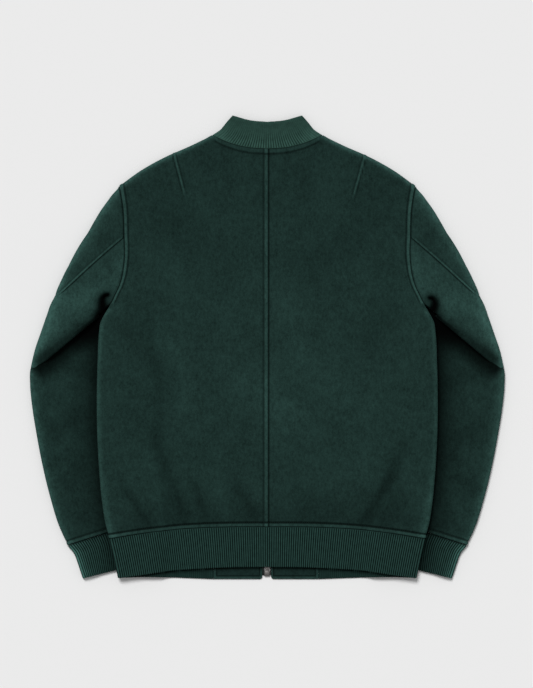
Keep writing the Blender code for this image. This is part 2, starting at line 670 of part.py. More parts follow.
def under_sleeve():
    """The under piece: the back of the arm below the seam, the elbow pleat and the top of the forearm."""
    rows = sleeve_rows()
    back = np.array([(x, y) for y, x, _ in ARMHOLE]) + (SEAM / 2 + 0.1, 0)
    hole = back[ARMHOLE_BOTTOM:ARMHOLE_SEAM_START + 1][::-1]
    seam_rows = rows[2:2 + len(SEAM_ROWS)]
    pleat_out = unit(np.array(ELBOW) - PLEAT_INNER_END)
    pleat_ahead = np.array([pleat_out[1], -pleat_out[0]])
    inner_ends = [hole[0] + 0.12 * (hole[1] - hole[0]), hole[1], hole[2], hole[3]]
    inner_ends += [(hole[3] + PLEAT_INNER_END) / 2, PLEAT_INNER_END - pleat_ahead * PLEAT_BEND]
    starts = [(s, p) for s, p in seam_rows] + rows[6:8]
    first_share, first_point = starts[0]
    next_point = starts[1][1]
    starts[0] = (first_share, first_point + 0.12 * (next_point - first_point))
    grid = [under_row(s, p, end, upper_arm_height) for (s, p), end in zip(starts, inner_ends)]
    lip = grid[-1]
    share = np.concatenate([np.zeros(BEND_COLUMNS), TOP_COLUMNS])
    down_edge = unit(edge_line(rows[8][0]) - edge_line(ELBOW_SHARE))
    direction = unit(down_edge + (pleat_ahead - down_edge) * smooth(share / 0.3)[:, None])
    pleat = pleat_rows(lip, share, direction)
    under = pleat[-1]
    shares = np.array([s for s, _ in rows[8:]])
    inner = np.concatenate([under[-1:, :2], tucked_line(TUCKED_SHARES[2:])])
    point, out, radius = edge_frame(shares)
    inside = np.concatenate([under[BEND_COLUMNS:BEND_COLUMNS + 1, :2], point - out * radius[:, None]])
    along = np.concatenate([[0.0], (shares - ELBOW_SHARE) / (1 - ELBOW_SHARE)])

    def near(share):
        return np.stack([np.interp(share, TOP_COLUMNS, under[BEND_COLUMNS:, i]) for i in (0, 1)], axis=-1)

    def start(share):
        return np.stack([np.interp(share, along, inside[:, i]) for i in (0, 1)], axis=-1)

    def end(share):
        return np.stack([np.interp(share, along, inner[:, i]) for i in (0, 1)], axis=-1)

    plan = patch(near, straight(inside[-1], TUCKED_EDGE[-1]), start, end, TOP_COLUMNS, along)
    fore_z = forearm_height(plan[..., 0], plan[..., 1])
    settled = smooth(along / 0.2)[:, None]
    z = under[None, BEND_COLUMNS:, 2] * (1 - settled) + fore_z * settled
    forearm = with_height(plan, z)[1:]
    bends = []
    for s in shares:
        radius = edge_frame(s)[2]
        angles = bend_steps(HIDDEN_SEAM_ANGLE + SEAM / radius, math.pi, BEND_COLUMNS)[:-1]
        bends.append([bend_point(s, b) for b in angles])
    forearm = np.concatenate([np.array(bends), forearm], axis=1)
    upper_part = np.concatenate([np.array(grid), pleat])
    whole = np.concatenate([upper_part, forearm])
    inner_angle = np.concatenate([np.zeros(len(upper_part)), np.full(len(forearm), math.pi / 2)])
    return turn_edge(whole, inner_angle, TUCKED_BEND, -1, steps=2)[:, ::-1]


def cuff():
    """The rib cuff: a flat ring, its inner half tucked under the hem band."""
    along = np.linspace(0, 1, 3)
    around = np.linspace(0, 1, 6)
    outer, inner = line(CUFF_OUTER), line(CUFF_INNER)
    seam = straight(CUFF_OUTER[0], CUFF_INNER[0])
    end = straight(CUFF_OUTER[-1], CUFF_INNER[-1])
    square = unit(np.array(CUFF_OUTER[0]) - CUFF_INNER[0])
    off = np.array([square[1], -square[0]])
    plan = patch(
        lambda t: seam(t) + off * (0.5 + 0.5 * t[:, None]),
        end,
        lambda t: outer(t) + off * 0.5 * (1 - t[:, None]),
        lambda t: inner(t) + off * (1 - t[:, None]),
        around,
        along,
    )
    beside = smooth((plan[..., 0] - body_edge_x(plan[..., 1]) - BESIDE_BODY) / 22)
    top = with_height(plan, TUCKED_CUFF_Z + (CUFF_Z - TUCKED_CUFF_Z) * beside)
    floor = with_height(plan, np.full(plan.shape[:2], RIB / 2))
    rings = []
    for layer, rise in ((top, -1), (floor, 1)):
        turned = turn_edge(layer, math.pi / 2, TUCKED_CUFF_BEND, rise, gap=0)
        outer_radius = (CUFF_Z - RIB / 2) / 2
        turned = turn_edge(turned[:, ::-1], math.pi / 2, outer_radius, rise, gap=0)
        rings.append(turned)
    upper, lower = rings
    return np.concatenate([upper, lower[:, -2:0:-1]], axis=1).transpose(1, 0, 2)


# ---------------------------------------------------------------- zip

def tape_height(y):
    """The height of the tapes and teeth, which climb from the fronts onto the collar."""
    climbed = smooth((y - TAPE_RISE_Y[0]) / (TAPE_RISE_Y[-1] - TAPE_RISE_Y[0]))
    return TAPE_Z[0] + (TAPE_Z[1] - TAPE_Z[0]) * climbed


def zip_tape():
    """One woven tape, along the inside of the front's edge and up the collar."""
    rows = np.array([BOX_HIGH[1] + SEAM, -200, 0, 120, *TAPE_RISE_Y, 275, ZIP_TOP_Y])
    grid = [[(x, y, tape_height(y)) for x in TAPE_X] for y in rows]
    return np.array(grid)


def zip_chain(finish):
    """The closed teeth, as one bar with bevelled sides that follows the tape."""
    half, flat, tall = ZIP_HALF_WIDTH, ZIP_HALF_WIDTH - 0.7, CHAIN_HEIGHT / 2
    outline = [(half, -0.5), (half, 0.5), (flat, tall), (-flat, tall),
               (-half, 0.5), (-half, -0.5), (-flat, -tall), (flat, -tall)]
    ys = [BOX_HIGH[1] + SEAM, 0, *TAPE_RISE_Y, SLIDER_Y[1] - 3.5]
    shape = bmesh.new()
    rings = [[shape.verts.new((x * MM, y * MM, (tape_height(y) + z) * MM)) for x, z in outline] for y in ys]
    for near, far in zip(rings, rings[1:]):
        for j in range(len(outline)):
            k = (j + 1) % len(outline)
            shape.faces.new((near[j], near[k], far[k], far[j]))
    shape.faces.new(rings[0])
    shape.faces.new(rings[-1])
    bmesh.ops.recalc_face_normals(shape, faces=shape.faces)
    mesh = bpy.data.meshes.new("zip_chain")
    shape.to_mesh(mesh)
    shape.free()
    add_object("zip_chain", mesh, finish)


def block(name, low, high, finish, bevel=0.0):
    """A box between two corners, with bevelled edges if asked."""
    shape = bmesh.new()
    bmesh.ops.create_cube(shape, size=1)
    low, high = np.array(low, float), np.array(high, float)
    for vert in shape.verts:
        vert.co = [((0.5 + c) * h + (0.5 - c) * l) * MM for c, l, h in zip(vert.co, low, high)]
    if bevel:
        bmesh.ops.bevel(shape, geom=shape.edges[:], offset=bevel * MM, segments=1, affect="EDGES")
    mesh = bpy.data.meshes.new(name)
    shape.to_mesh(mesh)
    shape.free()
    return add_object(name, mesh, finish)


def unite(piece, others):
    """Joins helper blocks to a piece and leaves the helpers out of the model."""
    for other in others:
        union = piece.modifiers.new(other.name, "BOOLEAN")
        union.operation = "UNION"
        union.object = other
        other.hide_render = True
        other.display_type = "WIRE"


def zip_slider(finish):
    """The slider: two plates with a post between them and two ears that hold the pull tab."""
    middle = TAPE_Z[1]
    inner = CHAIN_HEIGHT / 2 + AIR
    low_y, high_y = SLIDER_Y
    width = SLIDER_HALF_WIDTH
    lower = block("zip_slider", (-width, low_y, middle - inner - SLIDER_PLATE),
                  (width, high_y, middle - inner), finish, 0.25)
    upper = block("slider_upper_plate", (-width, low_y, middle + inner),
                  (width, high_y, middle + inner + SLIDER_PLATE), finish, 0.25)
    post = block("slider_post", (-2.4, high_y - 3.1, middle - inner - 0.5),
                 (2.4, high_y - 0.4, middle + inner + 0.5), finish)
    ears = [block(f"slider_ear_{name}", (x - 0.6, PULL_PIVOT[1] - 1.6, 0.6),
                  (x + 0.6, PULL_PIVOT[1] + 2.0, middle - inner - 0.5), finish)
            for name, x in (("left", -2.5), ("right", 2.5))]
    unite(lower, [upper, post, *ears])


def zip_pull(finish):
    """The pull tab: a knuckle between the slider's ears and a flat tongue, hung on the pivot."""
    x, y, z = PULL_PIVOT
    shape = bmesh.new()
    knuckle, tongue_z = 0.8, (-1.0, 0.2)
    low, high = tongue_z
    angles = np.linspace(-0.6 * math.pi, 0.5 * math.pi, 7)
    arc = [(knuckle * math.cos(a), knuckle * math.sin(a)) for a in angles]
    outline = [(-4.0, low), (-1.2, low), *arc, (-1.2, high + 0.4), (-4.0, high)]
    sides = [[shape.verts.new((s * MM, py * MM, pz * MM)) for py, pz in outline] for s in (-1.6, 1.6)]
    for j in range(len(outline)):
        k = (j + 1) % len(outline)
        shape.faces.new((sides[0][j], sides[0][k], sides[1][k], sides[1][j]))
    for side in sides:
        shape.faces.new(side)
    bmesh.ops.recalc_face_normals(shape, faces=shape.faces)
    mesh = bpy.data.meshes.new("zip_pull")
    shape.to_mesh(mesh)
    shape.free()
    pull = add_object("zip_pull", mesh, finish)
    tongue = block("pull_tongue", (-PULL_HALF_WIDTH, -PULL_LENGTH, low),
                   (PULL_HALF_WIDTH, -3.6, high), finish, 0.3)
    unite(pull, [tongue])
    place = (x * MM, y * MM, z * MM)
    pull.location = place
    tongue.location = place


def build():
    """Clears the scene and makes every piece."""
    for old in list(bpy.data.objects):
        bpy.data.objects.remove(old)
    wool = surface_material("brushed wool", (0.0125, 0.0305, 0.026), 0.95)
    rib = surface_material("rib knit", (0.0165, 0.038, 0.031), 0.9)
    woven = surface_material("zip tape", (0.03, 0.045, 0.04), 0.85)
    metal = surface_material("zip metal", (0.28, 0.26, 0.25), 0.38, 1.0)

    back_hem = line(BACK_HEM_SEAM)
    front_hem = straight((FRONT_OPENING, FRONT_HEM_Y), BACK_HEM_SEAM[-1])
    both_sides("back", body_panel(back_hem, BACK_NECK, SEAM / 2, 1, True), WOOL, wool)
    both_sides("front", body_panel(front_hem, FRONT_NECK, FRONT_OPENING, 2, False), WOOL, wool)
    both_sides("top_sleeve", top_sleeve(), WOOL, wool)
    both_sides("under_sleeve", under_sleeve(), WOOL, wool)
    both_sides("cuff", cuff(), RIB, rib, ring=True)
    wall("collar", collar(), RIB, rib)
    wall("hem_band", hem_band(), RIB, rib)
    both_sides("hem_tab", hem_tab(), WOOL, wool)
    both_sides("zip_tape", zip_tape(), TAPE, woven)
    zip_chain(metal)
    block("zip_box", BOX_LOW, BOX_HIGH, metal, 0.4)
    zip_slider(metal)
    zip_pull(metal)


build()
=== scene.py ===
# %% [markdown]
# # A wool bomber jacket, laid face down
# The jacket lies flat on the floor with its back up: brushed wool panels, rib knit at the neck, wrists and
# hem, and a closed zip underneath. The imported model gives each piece's place and size in metres. Every
# cloth piece is made again here as a thin shell on the same form, with its seams, folds, ribs and stitches.

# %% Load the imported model
import math

import bmesh
import bpy
import numpy as np
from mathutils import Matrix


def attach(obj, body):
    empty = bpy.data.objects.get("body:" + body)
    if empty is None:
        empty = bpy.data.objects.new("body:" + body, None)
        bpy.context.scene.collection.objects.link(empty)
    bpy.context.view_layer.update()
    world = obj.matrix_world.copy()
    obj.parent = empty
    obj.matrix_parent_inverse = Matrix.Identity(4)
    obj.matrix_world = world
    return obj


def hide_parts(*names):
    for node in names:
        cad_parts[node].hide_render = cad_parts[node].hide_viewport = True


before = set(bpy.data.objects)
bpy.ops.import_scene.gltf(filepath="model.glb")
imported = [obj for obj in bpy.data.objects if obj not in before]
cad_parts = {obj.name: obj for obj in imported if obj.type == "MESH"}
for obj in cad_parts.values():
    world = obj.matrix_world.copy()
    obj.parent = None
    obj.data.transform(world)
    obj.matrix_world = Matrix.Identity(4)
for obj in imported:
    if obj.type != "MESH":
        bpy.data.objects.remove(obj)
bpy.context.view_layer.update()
MM = 0.001  # the tables below are in millimetres

# %% [markdown]
# ## Floor, light and camera
# A picture like this is taken straight from above with a long lens, so nothing leans outwards. Most of the
# light is one large soft source a little above the collar and to the left. The rest comes evenly from the
# room, which keeps the floor pale and leaves the deep folds dark.

# %% Floor, light and camera
scene = bpy.context.scene
scene.view_settings.view_transform = "Standard"


def link(thing):
    """Puts an object into the scene."""
    scene.collection.objects.link(thing)
    return thing


def plain_material(name, colour, roughness):
    """One even finish, for the stage."""
    material = bpy.data.materials.new(name)
    material.use_nodes = True
    surface = material.node_tree.nodes["Principled BSDF"]
    surface.inputs["Base Color"].default_value = (*colour, 1)
    surface.inputs["Roughness"].default_value = roughness
    surface.inputs["Specular IOR Level"].default_value = 0.1
    return material


FLOOR_HALF, FLOOR_DROP = 6, 0.0003  # metres; it lies a hair below the jacket
floor_corners = [(x * FLOOR_HALF, y * FLOOR_HALF, -FLOOR_DROP) for x, y in ((-1, -1), (1, -1), (1, 1), (-1, 1))]
floor_mesh = bpy.data.meshes.new("floor")
floor_mesh.from_pydata(floor_corners, [], [(0, 1, 2, 3)])
floor_mesh.materials.append(plain_material("pale_floor", (0.842, 0.842, 0.842), 0.9))
link(bpy.data.objects.new("floor", floor_mesh))

world = bpy.data.worlds.new("room")
world.use_nodes = True
world.node_tree.nodes["Background"].inputs["Color"].default_value = (1, 1, 1, 1)
world.node_tree.nodes["Background"].inputs["Strength"].default_value = 0.38
scene.world = world

sun = bpy.data.lights.new("soft_window", "SUN")
sun.energy = 2.25
sun.angle = math.radians(22)
window = link(bpy.data.objects.new("soft_window", sun))
window.rotation_euler = (math.radians(-30), math.radians(-13), 0)

CAMERA_HEIGHT, PICTURE_HEIGHT = 6.0, 1.1146  # metres
lens = bpy.data.cameras.new("camera")
lens.sensor_fit = "VERTICAL"
lens.sensor_height = 36
lens.lens = 36 * CAMERA_HEIGHT / PICTURE_HEIGHT
lens.clip_end = 50
scene.camera = link(bpy.data.objects.new("camera", lens))
scene.camera.location = (-0.0013, 0.0054, CAMERA_HEIGHT)
print("the camera is", CAMERA_HEIGHT, "m up and sees", PICTURE_HEIGHT, "m of floor")

# %% [markdown]
# ## Node arithmetic
# Materials and geometry patterns are both trees of nodes. A node's output is wrapped in a small class, so
# that a pattern can be written as a Python expression: `1 - groove * 0.5` adds two Math nodes. Colours go
# through other nodes, because a Math node would turn them grey.

# %% Node arithmetic
class Value:
    """A node's output that takes part in Python arithmetic."""

    def __init__(self, tree, socket):
        self.tree = tree
        self.socket = socket

    def of(self, operation, *others):
        """One Math node, with this value first."""
        return add_node(self.tree, "ShaderNodeMath", {"operation": operation}, dict(enumerate((self, *others))))

    def before(self, operation, first):
        """One Math node, with this value second."""
        return add_node(self.tree, "ShaderNodeMath", {"operation": operation}, {0: first, 1: self})

    def __add__(self, other):
        return self.of("ADD", other)

    def __sub__(self, other):
        return self.of("SUBTRACT", other)

    def __mul__(self, other):
        return self.of("MULTIPLY", other)

    def __truediv__(self, other):
        return self.of("DIVIDE", other)

    def __pow__(self, other):
        return self.of("POWER", other)

    def __radd__(self, other):
        return self.before("ADD", other)

    def __rsub__(self, other):
        return self.before("SUBTRACT", other)

    def __rmul__(self, other):
        return self.before("MULTIPLY", other)


def add_node(tree, kind, settings=None, sockets=None, output=0):
    """Adds a node: its settings first, then a value or a link for each socket. Returns one output."""
    node = tree.nodes.new(kind)
    for name, value in (settings or {}).items():
        setattr(node, name, value)
    for key, value in (sockets or {}).items():
        if isinstance(value, Value):
            tree.links.new(value.socket, node.inputs[key])
        else:
            node.inputs[key].default_value = value
    return Value(tree, node.outputs[output]) if node.outputs else None


print("node arithmetic is ready")

# %% [markdown]
# ## The finishes
# The wool is a melton, woven, felted and then brushed, so no weave shows: only a fine felted grain, faint
# cloudy patches, and a nap that glows a little where the cloth turns away, with a painted highlight along
# its outlines. The rib is a doubled knit of the same green, a little lighter. Its wales come from the mesh,
# and its small stitches are drawn along each wale. The pieces carry a value called shade, in photographer's
# stops: at 1 the cloth is twice as light, at -1 half. It is painted light and shade in the colour: painted
# highlight on pressed ridges and outlines, and painted shade in hollows, creases and seams.

# %% A finish
class Finish:
    """A material that is being made out of nodes."""

    def __init__(self, name):
        self.material = bpy.data.materials.new(name)
        self.material.use_nodes = True
        self.tree = self.material.node_tree
        self.tree.nodes.clear()

    def node(self, kind, settings=None, sockets=None, output=0):
        return add_node(self.tree, kind, settings, sockets, output)

    def place(self, scale=(1, 1, 1)):
        """Where a point lies on the object, stretched by a scale."""
        point = self.node("ShaderNodeTexCoord", output="Object")
        return self.node("ShaderNodeMapping", {}, {"Vector": point, "Scale": scale})

    def noise(self, place, scale, detail=2.0, roughness=0.5):
        """Cloudy noise from 0 to 1, with its middle at 0.5."""
        sockets = {"Vector": place, "Scale": scale, "Detail": detail, "Roughness": roughness}
        return self.node("ShaderNodeTexNoise", {}, sockets)

    def attribute(self, name):
        """A value that the mesh carries."""
        return self.node("ShaderNodeAttribute", {"attribute_name": name}, output="Fac")

    def shade(self):
        """The factor of the mesh's painted light and shade: 2 to the power of its stops."""
        return self.attribute("shade").before("POWER", 2.0)

    def tinted(self, colour, lightness):
        """A colour made lighter or darker by a value."""
        return self.node("ShaderNodeVectorMath", {"operation": "SCALE"}, {0: colour, "Scale": lightness})

    def bump(self, height, distance, strength=1.0):
        """A fine relief; its distance is in metres."""
        return self.node("ShaderNodeBump", {}, {"Height": height, "Distance": distance, "Strength": strength})

    def surface(self, **sockets):
        """Ends the material: names with _ for each blank are the shader's sockets."""
        sockets = {name.replace("_", " "): value for name, value in sockets.items()}
        shader = self.node("ShaderNodeBsdfPrincipled", {}, sockets)
        self.node("ShaderNodeOutputMaterial", {"target": "ALL"}, {"Surface": shader})
        return self.material


# %% [markdown]
# ### Brushed wool
# Melton is woven, shrunk until its threads felt together, and brushed, so its face is a mat of short fibres.
# A picture of cloth would repeat over a jacket, and real hairs would be millions of curves. Noise does
# neither, so five layers of it are used: two broad ones for how the nap lies, three fine ones for the felt.

# %% Brushed wool
# How both green cloths take the light: almost no gloss, and a little pale green glow at a slant
NAP = {
    "Specular_IOR_Level": 0.03,
    "Sheen_Weight": 0.05,
    "Sheen_Roughness": 0.35,
    "Sheen_Tint": (0.45, 0.9, 0.8, 1),
}


def brushed_wool():
    """Dark green melton with a felted grain and a short nap that lies down the cloth."""
    wool = Finish("brushed_wool")
    drift = wool.noise(wool.place(), 14, 2)
    cloud = wool.noise(wool.place(), 60, 3)
    fleck = wool.noise(wool.place((1, 0.6, 1)), 240, 2)
    grain = wool.noise(wool.place((1, 0.7, 1)), 520, 3, 0.6)
    nap = wool.noise(wool.place((1, 0.4, 1)), 1500, 2, 0.6)
    lightness = 1 + (drift - 0.5) * 0.35 + (cloud - 0.5) * 0.6 + (fleck - 0.5) * 0.9
    # the mesh's shade, which is painted light and shade, scales the colour here
    lightness = (lightness + (grain - 0.5) * 1.05 + (nap - 0.5) * 0.6) * wool.shade()
    return wool.surface(
        Base_Color=wool.tinted((0.0116, 0.0292, 0.0250), lightness),
        Roughness=0.92 + (grain - 0.5) * 0.1,
        Normal=wool.bump(fleck * 0.5 + grain * 0.4 + nap * 0.2, 0.0009, 0.7),
        **NAP,
    )


WOOL_FINISH = brushed_wool()
print("brushed wool:", len(WOOL_FINISH.node_tree.nodes), "nodes")


# %% [markdown]
# ### Rib knit
# A rib is knitted in columns, called wales, of small V shaped stitches, with a furrow between each two. A
# mesh of every stitch would take millions of faces for something half a pixel wide. So the mesh has only
# the wales. The material paints shade into the furrows and draws the stitches along each wale, and both
# are placed by the piece's own UV map, which counts the wales as it goes round.

# %% Rib knit
RIB_PITCH = 3.5  # from one wale to the next
COURSE = 1.9  # one row of knitted stitches


def rib_knit(name, colour):
    """Rib knit: painted shade between the wales, with V shaped stitches along them."""
    rib = Finish(name)
    parts = rib.node("ShaderNodeSeparateXYZ", {}, {0: rib.node("ShaderNodeUVMap", {"uv_map": "cloth"})})
    across, down = parts, Value(rib.tree, parts.socket.node.outputs["Y"])
    turn = across / (RIB_PITCH * MM)
    wale = (turn * math.pi).of("COSINE").of("ABSOLUTE")
    stitch = ((down / (COURSE * MM) + wale * 0.6) * (2 * math.pi)).of("SINE") * 0.5 + 0.5
    grain = rib.noise(rib.place(), 900, 2, 0.6)
    cloud = rib.noise(rib.place(), 130, 3)
    # painted shade in the furrows between the wales; the mesh's painted light and shade scales the colour too
    furrow = (1 - wale) * rib.attribute("rib_depth")
    lightness = (1.64 - furrow * 2.2).of("MAXIMUM", 0.1) * (1 + (grain - 0.5) * 0.7 + (cloud - 0.5) * 0.7)
    lightness = lightness * (0.9 + stitch * 0.2) * rib.shade()
    return rib.surface(
        Base_Color=rib.tinted(colour, lightness),
        Roughness=0.9 + (grain - 0.5) * 0.1,
        Normal=rib.bump(stitch * 0.6 + grain * 0.4, 0.00035, 0.6),
        **NAP,
    )


RIB_FINISH = rib_knit("rib_knit", (0.0126, 0.0338, 0.0287))
COLLAR_FINISH = rib_knit("collar_knit", (0.0150, 0.0372, 0.0298))  # a little paler and warmer than the other rib knit
print("rib knit:", len(RIB_FINISH.node_tree.nodes), "nodes")


# %% [markdown]
# ### Thread, zip tape and zip metal
# The thread has the cloth's own green, the tape is a dark herringbone weave, made darker still as painted
# shade where it shows under the hem band, and the metal is satin and a little stained. All three are small
# in the picture, so one wave or one stretched noise is enough for each. It gives the colour its bands and,
# through a bump, the surface its relief.

# %% Thread, zip tape and zip metal
def sewing_thread():
    """Matching green thread, with its twist drawn as slanted bands."""
    thread = Finish("sewing_thread")
    twist = thread.node("ShaderNodeTexWave", {"wave_type": "BANDS", "bands_direction": "DIAGONAL"},
                        {"Vector": thread.place(), "Scale": 900.0, "Distortion": 1.0}, "Fac")
    return thread.surface(
        Base_Color=thread.tinted((0.008, 0.021, 0.018), 0.75 + twist * 0.4),
        Roughness=0.8,
        Specular_IOR_Level=0.08,
        Normal=thread.bump(twist, 0.0001, 0.5),
    )


def zip_tape_finish():
    """Woven polyester tape: narrow slanted ribs that turn back in a herringbone."""
    tape = Finish("zip_tape")
    parts = tape.node("ShaderNodeSeparateXYZ", {}, {0: tape.place()})
    along = Value(tape.tree, parts.socket.node.outputs["Y"])
    zigzag = (parts * 420).of("PINGPONG", 1.0)
    weave = ((along * 900 + zigzag * 2) * math.pi).of("SINE") * 0.5 + 0.5
    grain = tape.noise(tape.place(), 1200, 2)
    return tape.surface(
        # a dark tape, made darker still as painted shade, since it shows only under the hem band's fold
        Base_Color=tape.tinted((0.006, 0.010, 0.009), 0.7 + weave * 0.4 + grain * 0.2),
        Roughness=0.78,
        Specular_IOR_Level=0.25,
        Normal=tape.bump(weave, 0.00015, 0.6),
    )


def zip_metal_finish():
    """Dark satin nickel, rubbed along its length, with faint stains at random."""
    metal = Finish("zip_metal")
    brushed = metal.noise(metal.place((1, 0.08, 1)), 2600, 3)
    stain = metal.noise(metal.place(), 500, 3)
    return metal.surface(
        Base_Color=metal.tinted((0.145, 0.138, 0.134), 0.6 + stain * 0.8),
        Metallic=0.8,
        Roughness=0.38 + brushed * 0.2,
        Normal=metal.bump(brushed, 0.00003, 0.5),
    )


THREAD_FINISH, TAPE_FINISH, METAL_FINISH = sewing_thread(), zip_tape_finish(), zip_metal_finish()
print("finishes:", [m.name for m in (WOOL_FINISH, RIB_FINISH, THREAD_FINISH, TAPE_FINISH, METAL_FINISH)])

# %% [markdown]
# ## Smooth lines and patches
# A pattern cutter draws each edge of a panel as a curve through a few measured points. The same is done
# here: `line` runs a smooth curve through points, and `patch` fills the area between four such curves.
# `turn_edge` rolls a panel's edge over in a quarter circle, as a folded or side-seamed edge lies.

# %% Smooth lines
FIRST, LAST = np.array([0.0]), np.array([1.0])  # the two ends of a line


def through(knots, values):
    """A smooth rule through a table: a function of the knot, with a value, point or row of points for each."""
    knots, values = np.asarray(knots, float), np.asarray(values, float)
    slopes = np.gradient(values, knots, axis=0)

    def at(t):
        t = np.clip(np.asarray(t, float), knots[0], knots[-1])
        i = np.clip(np.searchsorted(knots, t, side="right") - 1, 0, len(knots) - 2)
        shape = t.shape + (1,) * (values.ndim - 1)
        step = (knots[i + 1] - knots[i]).reshape(shape)
        s = (t - knots[i]).reshape(shape) / step
        start = (2 * s**3 - 3 * s**2 + 1) * values[i] + (s**3 - 2 * s**2 + s) * step * slopes[i]
        end = (3 * s**2 - 2 * s**3) * values[i + 1] + (s**3 - s**2) * step * slopes[i + 1]
        return start + end

    return at


def reach(points):
    """The share of its whole length at which each point of a line lies."""
    steps = np.linalg.norm(np.diff(np.asarray(points, float), axis=0), axis=1)
    total = np.concatenate([[0], np.cumsum(steps)])
    return total / total[-1]


def line(points):
    """A smooth line through points, as a function of the share of its length."""
    return through(reach(points), points)


def straight(start, end):
    """A straight line, as a function of the share of its length."""
    start, end = np.asarray(start, float), np.asarray(end, float)
    return lambda t: start + (end - start) * np.asarray(t, float)[..., None]


def smooth(t):
    """A soft step from 0 to 1."""
    t = np.clip(t, 0, 1)
    return t * t * (3 - 2 * t)


def unit(vectors):
    """Vectors made one long."""
    return vectors / np.maximum(np.linalg.norm(vectors, axis=-1, keepdims=True), 1e-9)


def column(table, index):
    """One column of a table."""
    return np.array([row[index] for row in table])


def table_line(table, index=1):
    """A smooth rule from a table's first column to another column."""
    return through(column(table, 0), column(table, index))


# %% Patches and turned edges
def patch(near, far, start, end, across, along):
    """Plan points (along, across) filled in between four edge lines."""
    a, v = across[None, :, None], along[:, None, None]
    low, high = near(across)[None], far(across)[None]
    left, right = start(along)[:, None], end(along)[:, None]
    low_corners = (1 - a) * near(FIRST) + a * near(LAST)
    high_corners = (1 - a) * far(FIRST) + a * far(LAST)
    corners = (1 - v) * low_corners + v * high_corners
    return (1 - v) * low + v * high + (1 - a) * left + a * right - corners


def with_height(plan, z):
    """Plan points with their heights."""
    return np.concatenate([plan, np.broadcast_to(z, plan.shape[:-1])[..., None]], axis=-1)


SEAM = 0.04  # gap between two sewn pieces


def turn_edge(grid, angle, radius, rise, steps=6, gap=SEAM / 2):
    """Turns the last column of a grid through an angle for each row, up or down, inside its outline."""
    angle = np.maximum(np.broadcast_to(angle, grid.shape[0]), 1e-3)[:, None]
    last_step = (grid[:, -1] - grid[:, -2])[:, :2]
    out = unit(last_step)
    arc = radius * math.pi / 2
    room = np.minimum(arc, 0.6 * np.linalg.norm(last_step, axis=-1, keepdims=True))
    arc = np.where(angle > 0.01, arc, room)
    base = grid[:, -1].copy()
    base[:, :2] -= out * arc * np.sin(angle) / angle
    strip = [base]
    for share in np.linspace(0, 1, steps + 1)[1:]:
        turned = angle * share * (1 - gap / arc)
        point = base.copy()
        point[:, :2] += out * arc * np.sin(turned) / angle
        point[:, 2:] += rise * arc * (1 - np.cos(turned)) / angle
        strip.append(point)
    return np.concatenate([grid[:, :-1], np.stack(strip, axis=1)], axis=1)


strip = np.array([[[0.0, 0, 0], [20, 0, 0]]])
print("a quarter turn of radius 4 ends at", turn_edge(strip, math.pi / 2, 4, 1)[0, -1])

# %% [markdown]
# ## From a coarse grid to cloth
# Each piece starts as a coarse grid of points down the middle of its cloth. `finer` runs smooth curves
# through it and puts new points close together at seams, where the cloth bends sharply, and far apart
# elsewhere. The distance of every point from the piece's four edges, measured along the cloth, then
# places the details of the seams.

# %% Finer grids
def spread(length, step, close=()):
    """Places along a length, a step apart, or closer around each (place, reach, step) that is named."""
    s = np.linspace(0, length, 4001)
    gap = np.full_like(s, step)
    for place, around, fine in close:
        gap = np.minimum(gap, fine + (step - fine) * smooth((abs(s - place) - around) / (1.5 * around)))
    count = np.concatenate([[0], np.cumsum(np.diff(s) / gap[1:])])
    return np.interp(np.linspace(0, count[-1], max(2, round(count[-1])) + 1), count, s)


def finer(grid, axis, step, close=(), corners=()):
    """Resamples a grid smoothly along one axis. It may turn sharply at the corner rows."""
    grid = np.moveaxis(grid, axis, 0)
    spans = np.linalg.norm(np.diff(grid, axis=0), axis=-1).mean(axis=1)
    knots = np.concatenate([[0], np.cumsum(spans)])
    close = [(place if place >= 0 else knots[-1] + 1 + place, around, fine) for place, around, fine in close]
    wanted = spread(knots[-1], step, close)
    for corner in corners:
        wanted[np.argmin(abs(wanted - knots[corner]))] = knots[corner]
    result = np.empty((len(wanted), *grid.shape[1:]))
    ends = [0, *corners, len(grid) - 1]
    for first, last in zip(ends, ends[1:]):
        inside = (wanted >= knots[first]) & (wanted <= knots[last])
        result[inside] = through(knots[first:last + 1], grid[first:last + 1])(wanted[inside])
    return np.moveaxis(result, 0, axis)


def from_edges(grid, axis):
    """How far each point is from the grid's first and last edge, along the cloth."""
    steps = np.linalg.norm(np.diff(grid, axis=axis), axis=-1)
    total = np.cumsum(np.insert(steps, 0, 0, axis=axis), axis=axis)
    return total, np.take(total, [-1], axis) - total


END = -1.0  # a place in `close` that means the last edge

# %% [markdown]
# ## Seams
# Every seam here is sewn, pressed to one side and stitched down again a short way in. The covering panel
# therefore ends in a soft ridge between the seam and a row of stitches. A rule gives the height of the
# outer face and its painted light, for each distance from the edge: a painted highlight on the ridge, and
# painted shade in the stitched groove and at the seam line. A folded edge is simply round.

# %% Seam profiles
def rounded(t):
    """The height of a quarter circle: 0 at an edge and 1 from there on."""
    return np.sqrt(1 - (1 - np.clip(t, 0, 1)) ** 2)


def plain_edge(distance, deep=1.1, dark=1.6):
    """The panel that slips under a seam: it dips at the seam line, which gets painted shade."""
    return -deep * (1 - rounded(distance / 1.6)), -dark * np.exp(-((distance / 1.5) ** 2))


def pale_edge(distance):
    """The same dip, where the seam line hardly shows: less painted shade."""
    return plain_edge(distance, dark=0.5)


